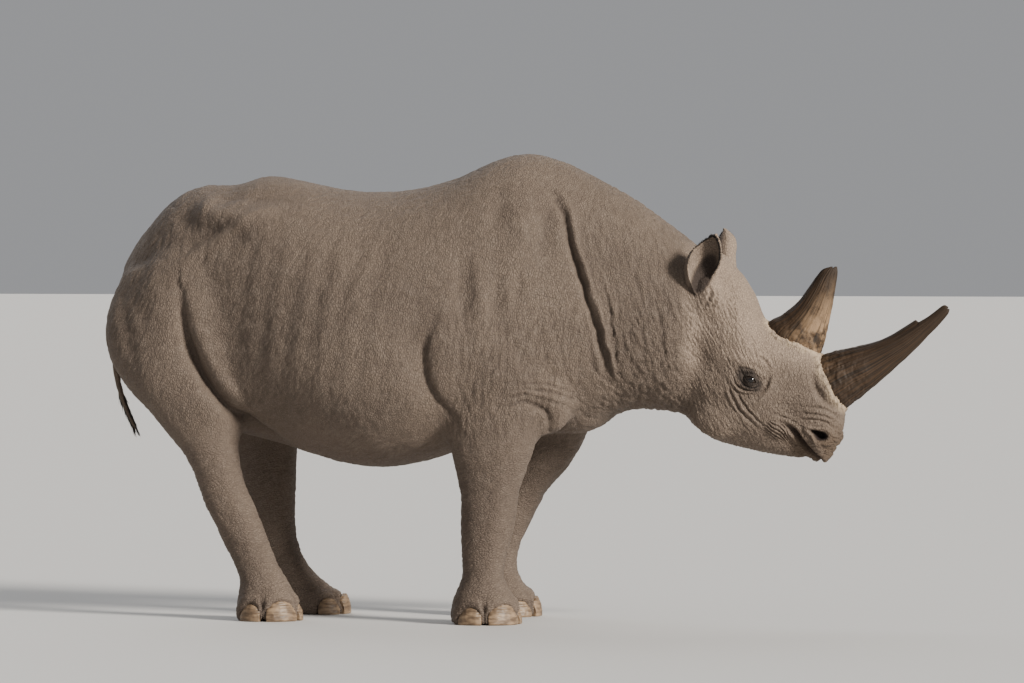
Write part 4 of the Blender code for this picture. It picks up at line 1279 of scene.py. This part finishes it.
broad = hide.noise(place, 3.0, 5.0, 0.6)
spots = hide.noise(place, 26.0, 6.0, 0.65)
facing = hide.node("NewGeometry", {}).outputs["Normal"]
upward = hide.node("SeparateXYZ", {"Vector": facing}).outputs["Z"]
colour = hide.blend(hide.ramp(broad, 0.35, 0.68), (0.142, 0.106, 0.080), (0.198, 0.149, 0.112))
COATS = (
    # what shows it, how strongly, its colour; each lies over those before it
    (hide.ramp(spots, 0.42, 0.72), 0.45, (0.235, 0.185, 0.146)),  # dried mud
    (hide.ramp(upward, 0.1, 0.9), 0.35, (0.298, 0.224, 0.164)),  # dust
    # paler head: dust all over it, and painted light on the brow and forehead facing the key light
    (hide.masked("face"), 0.66, (0.430, 0.325, 0.240)),
    # painted shade in folds and hollows
    (hide.masked("hollow"), 0.55, (0.055, 0.040, 0.032)),
    # painted shade in the cracks of the net, where the bump is lowest
    (hide.sums("SUBTRACT", 1.0, cracks), 0.55, (0.060, 0.045, 0.036)),
    (leg, 0.18, (0.100, 0.072, 0.056)),
    (hide.times(hide.masked("collar"), hide.ramp(spots, 0.38, 0.56)), 0.9, (0.470, 0.360, 0.245)),
    (hide.masked("lip"), 0.78, (0.078, 0.051, 0.031)),
    # painted shade round the eyes
    (hide.masked("painted_eye_shade"), 0.93, (0.022, 0.016, 0.013)),
    # painted shade in the mouth groove
    (hide.masked("mouth"), 0.8, (0.045, 0.028, 0.022)),
    # ear holes: dark hair, and painted shade deep inside
    (hide.masked("ear_hole"), 0.92, (0.020, 0.013, 0.010)),
    # painted shade inside the nostrils
    (hide.masked("nostril"), 1.0, (0.014, 0.008, 0.007)),
)
for shows, strength, paint in COATS:
    colour = hide.blend(hide.times(shows, strength), colour, paint)
smoother = hide.times(hide.masked("face"), 0.35)
hide.finish(colour, relief, hide.sums("SUBTRACT", 1.0, smoother), 0.0028)
print("hide of", len(COATS), "coats")

# %% Horn, nail, eye and hair
horn = Look("horn_fibres", 0.64, 0.35)
strand = horn.node("Attribute", {}, attribute_name="strand").outputs["Vector"]
length = horn.sums("DIVIDE", horn.node("SeparateXYZ", {"Vector": strand}).outputs["Z"], STRAND)
fibres = horn.noise(horn.scaled(strand, (1.0, 1.0, 10.0)), 16.0, 7.0, 0.75)
patches = horn.noise(horn.place(), 17.0, 5.0, 0.65)
colour = horn.blend(horn.ramp(fibres, 0.36, 0.66), (0.010, 0.006, 0.003), (0.058, 0.031, 0.014))
flaking = horn.times(horn.ramp(patches, 0.36, 0.62), horn.masked("tan"))
tan = horn.times(flaking, horn.ramp(fibres, 0.30, 0.52))
colour = horn.blend(tan, colour, (0.355, 0.227, 0.125))
near_tip = horn.times(horn.ramp(length, 0.45, 0.85), 0.45)
colour = horn.blend(near_tip, colour, (0.034, 0.021, 0.012))
horn.finish(colour, fibres, 0.6, 0.0025)

nail = Look("toenail", 0.48, 0.4)
stretch = nail.node("Mapping", {"Vector": nail.place(), "Scale": (0.6, 0.6, 2.4)}).outputs[0]
grain = nail.noise(stretch, 40.0, 5.0)
colour = nail.blend(nail.ramp(grain, 0.3, 0.7), (0.105, 0.068, 0.041), (0.300, 0.206, 0.126))
nail.finish(colour, grain, 0.4, 0.0015)

eye = Look("eyeball", 0.06, 0.6)
forward = eye.node("SeparateXYZ", {"Vector": eye.place()}).outputs["Z"]
depth = eye.sums("DIVIDE", forward, EYE_RADIUS)
colour = eye.blend(eye.ramp(depth, 0.66, 0.72), (0.050, 0.036, 0.028), (0.016, 0.009, 0.005))
colour = eye.blend(eye.ramp(depth, 0.945, 0.965), colour, (0.004, 0.003, 0.003))
eye.feed(eye.inputs["Base Color"], colour)

hair = Look("hair", 0.45, 0.4, (0.018, 0.014, 0.012))
LOOKS = ((hide, [skin]), (horn, horn_pieces), (nail, nail_pieces), (eye, eye_pieces),
         (hair, [fringe, bristles]))
for look, pieces in LOOKS:
    for piece in pieces:
        piece.data.materials.clear()
        piece.data.materials.append(look.material)
print("looks given to", sum(len(pieces) for _, pieces in LOOKS), "pieces")

# %% [markdown]
# ## Floor, light and camera
# A pale floor, a broad soft light from the front right like a low sun through a sheet, and a weak
# one from the left. The camera is a long lens far away at the height of the animal's back.

# %% Floor, light and camera
FAR = 90
corners = [(-FAR, -FAR, 0), (FAR, -FAR, 0), (FAR, FAR, 0), (-FAR, FAR, 0)]
floor = add_mesh_object("floor", corners, [(0, 1, 2, 3)])
floor.data.materials.append(Look("floor", 0.9, 0.2, (0.66, 0.645, 0.62)).material)

world = bpy.data.worlds.new("studio")
scene.world = world
world.use_nodes = True
sky = world.node_tree.nodes["Background"]
sky.inputs["Color"].default_value = (0.86, 0.87, 0.90, 1)
sky.inputs["Strength"].default_value = 0.38


def soft_sun(name, direction, strength, angle, colour):
    lamp = bpy.data.lights.new(name, "SUN")
    lamp.energy = strength
    lamp.angle = math.radians(angle)
    lamp.color = colour
    made = linked(name, lamp)
    made.rotation_mode = "QUATERNION"
    made.rotation_quaternion = Vector(direction).to_track_quat("-Z", "Y")


soft_sun("key_light", (-0.88, 0.44, -0.40), 6.2, 13, (1.0, 0.95, 0.88))
soft_sun("fill_light", (0.5, -0.8, -0.5), 1.3, 60, (0.95, 0.97, 1.0))

AZIMUTH = math.radians(14)
DISTANCE = 22.0
MIDDLE = -0.038  # the place in the body's length that the camera looks at
EYE_HEIGHT = 1.34
LOOK_DOWN = 1.07  # degrees
lens = bpy.data.cameras.new("camera")
lens.lens = 232
lens.sensor_width = 36
lens.clip_end = 400
camera = linked("camera", lens)
camera.location = (
    MIDDLE + DISTANCE * math.sin(AZIMUTH), -DISTANCE * math.cos(AZIMUTH), EYE_HEIGHT
)
camera.rotation_euler = (math.radians(90 - LOOK_DOWN), 0, AZIMUTH)
scene.camera = camera
scene.view_settings.view_transform = "AgX"
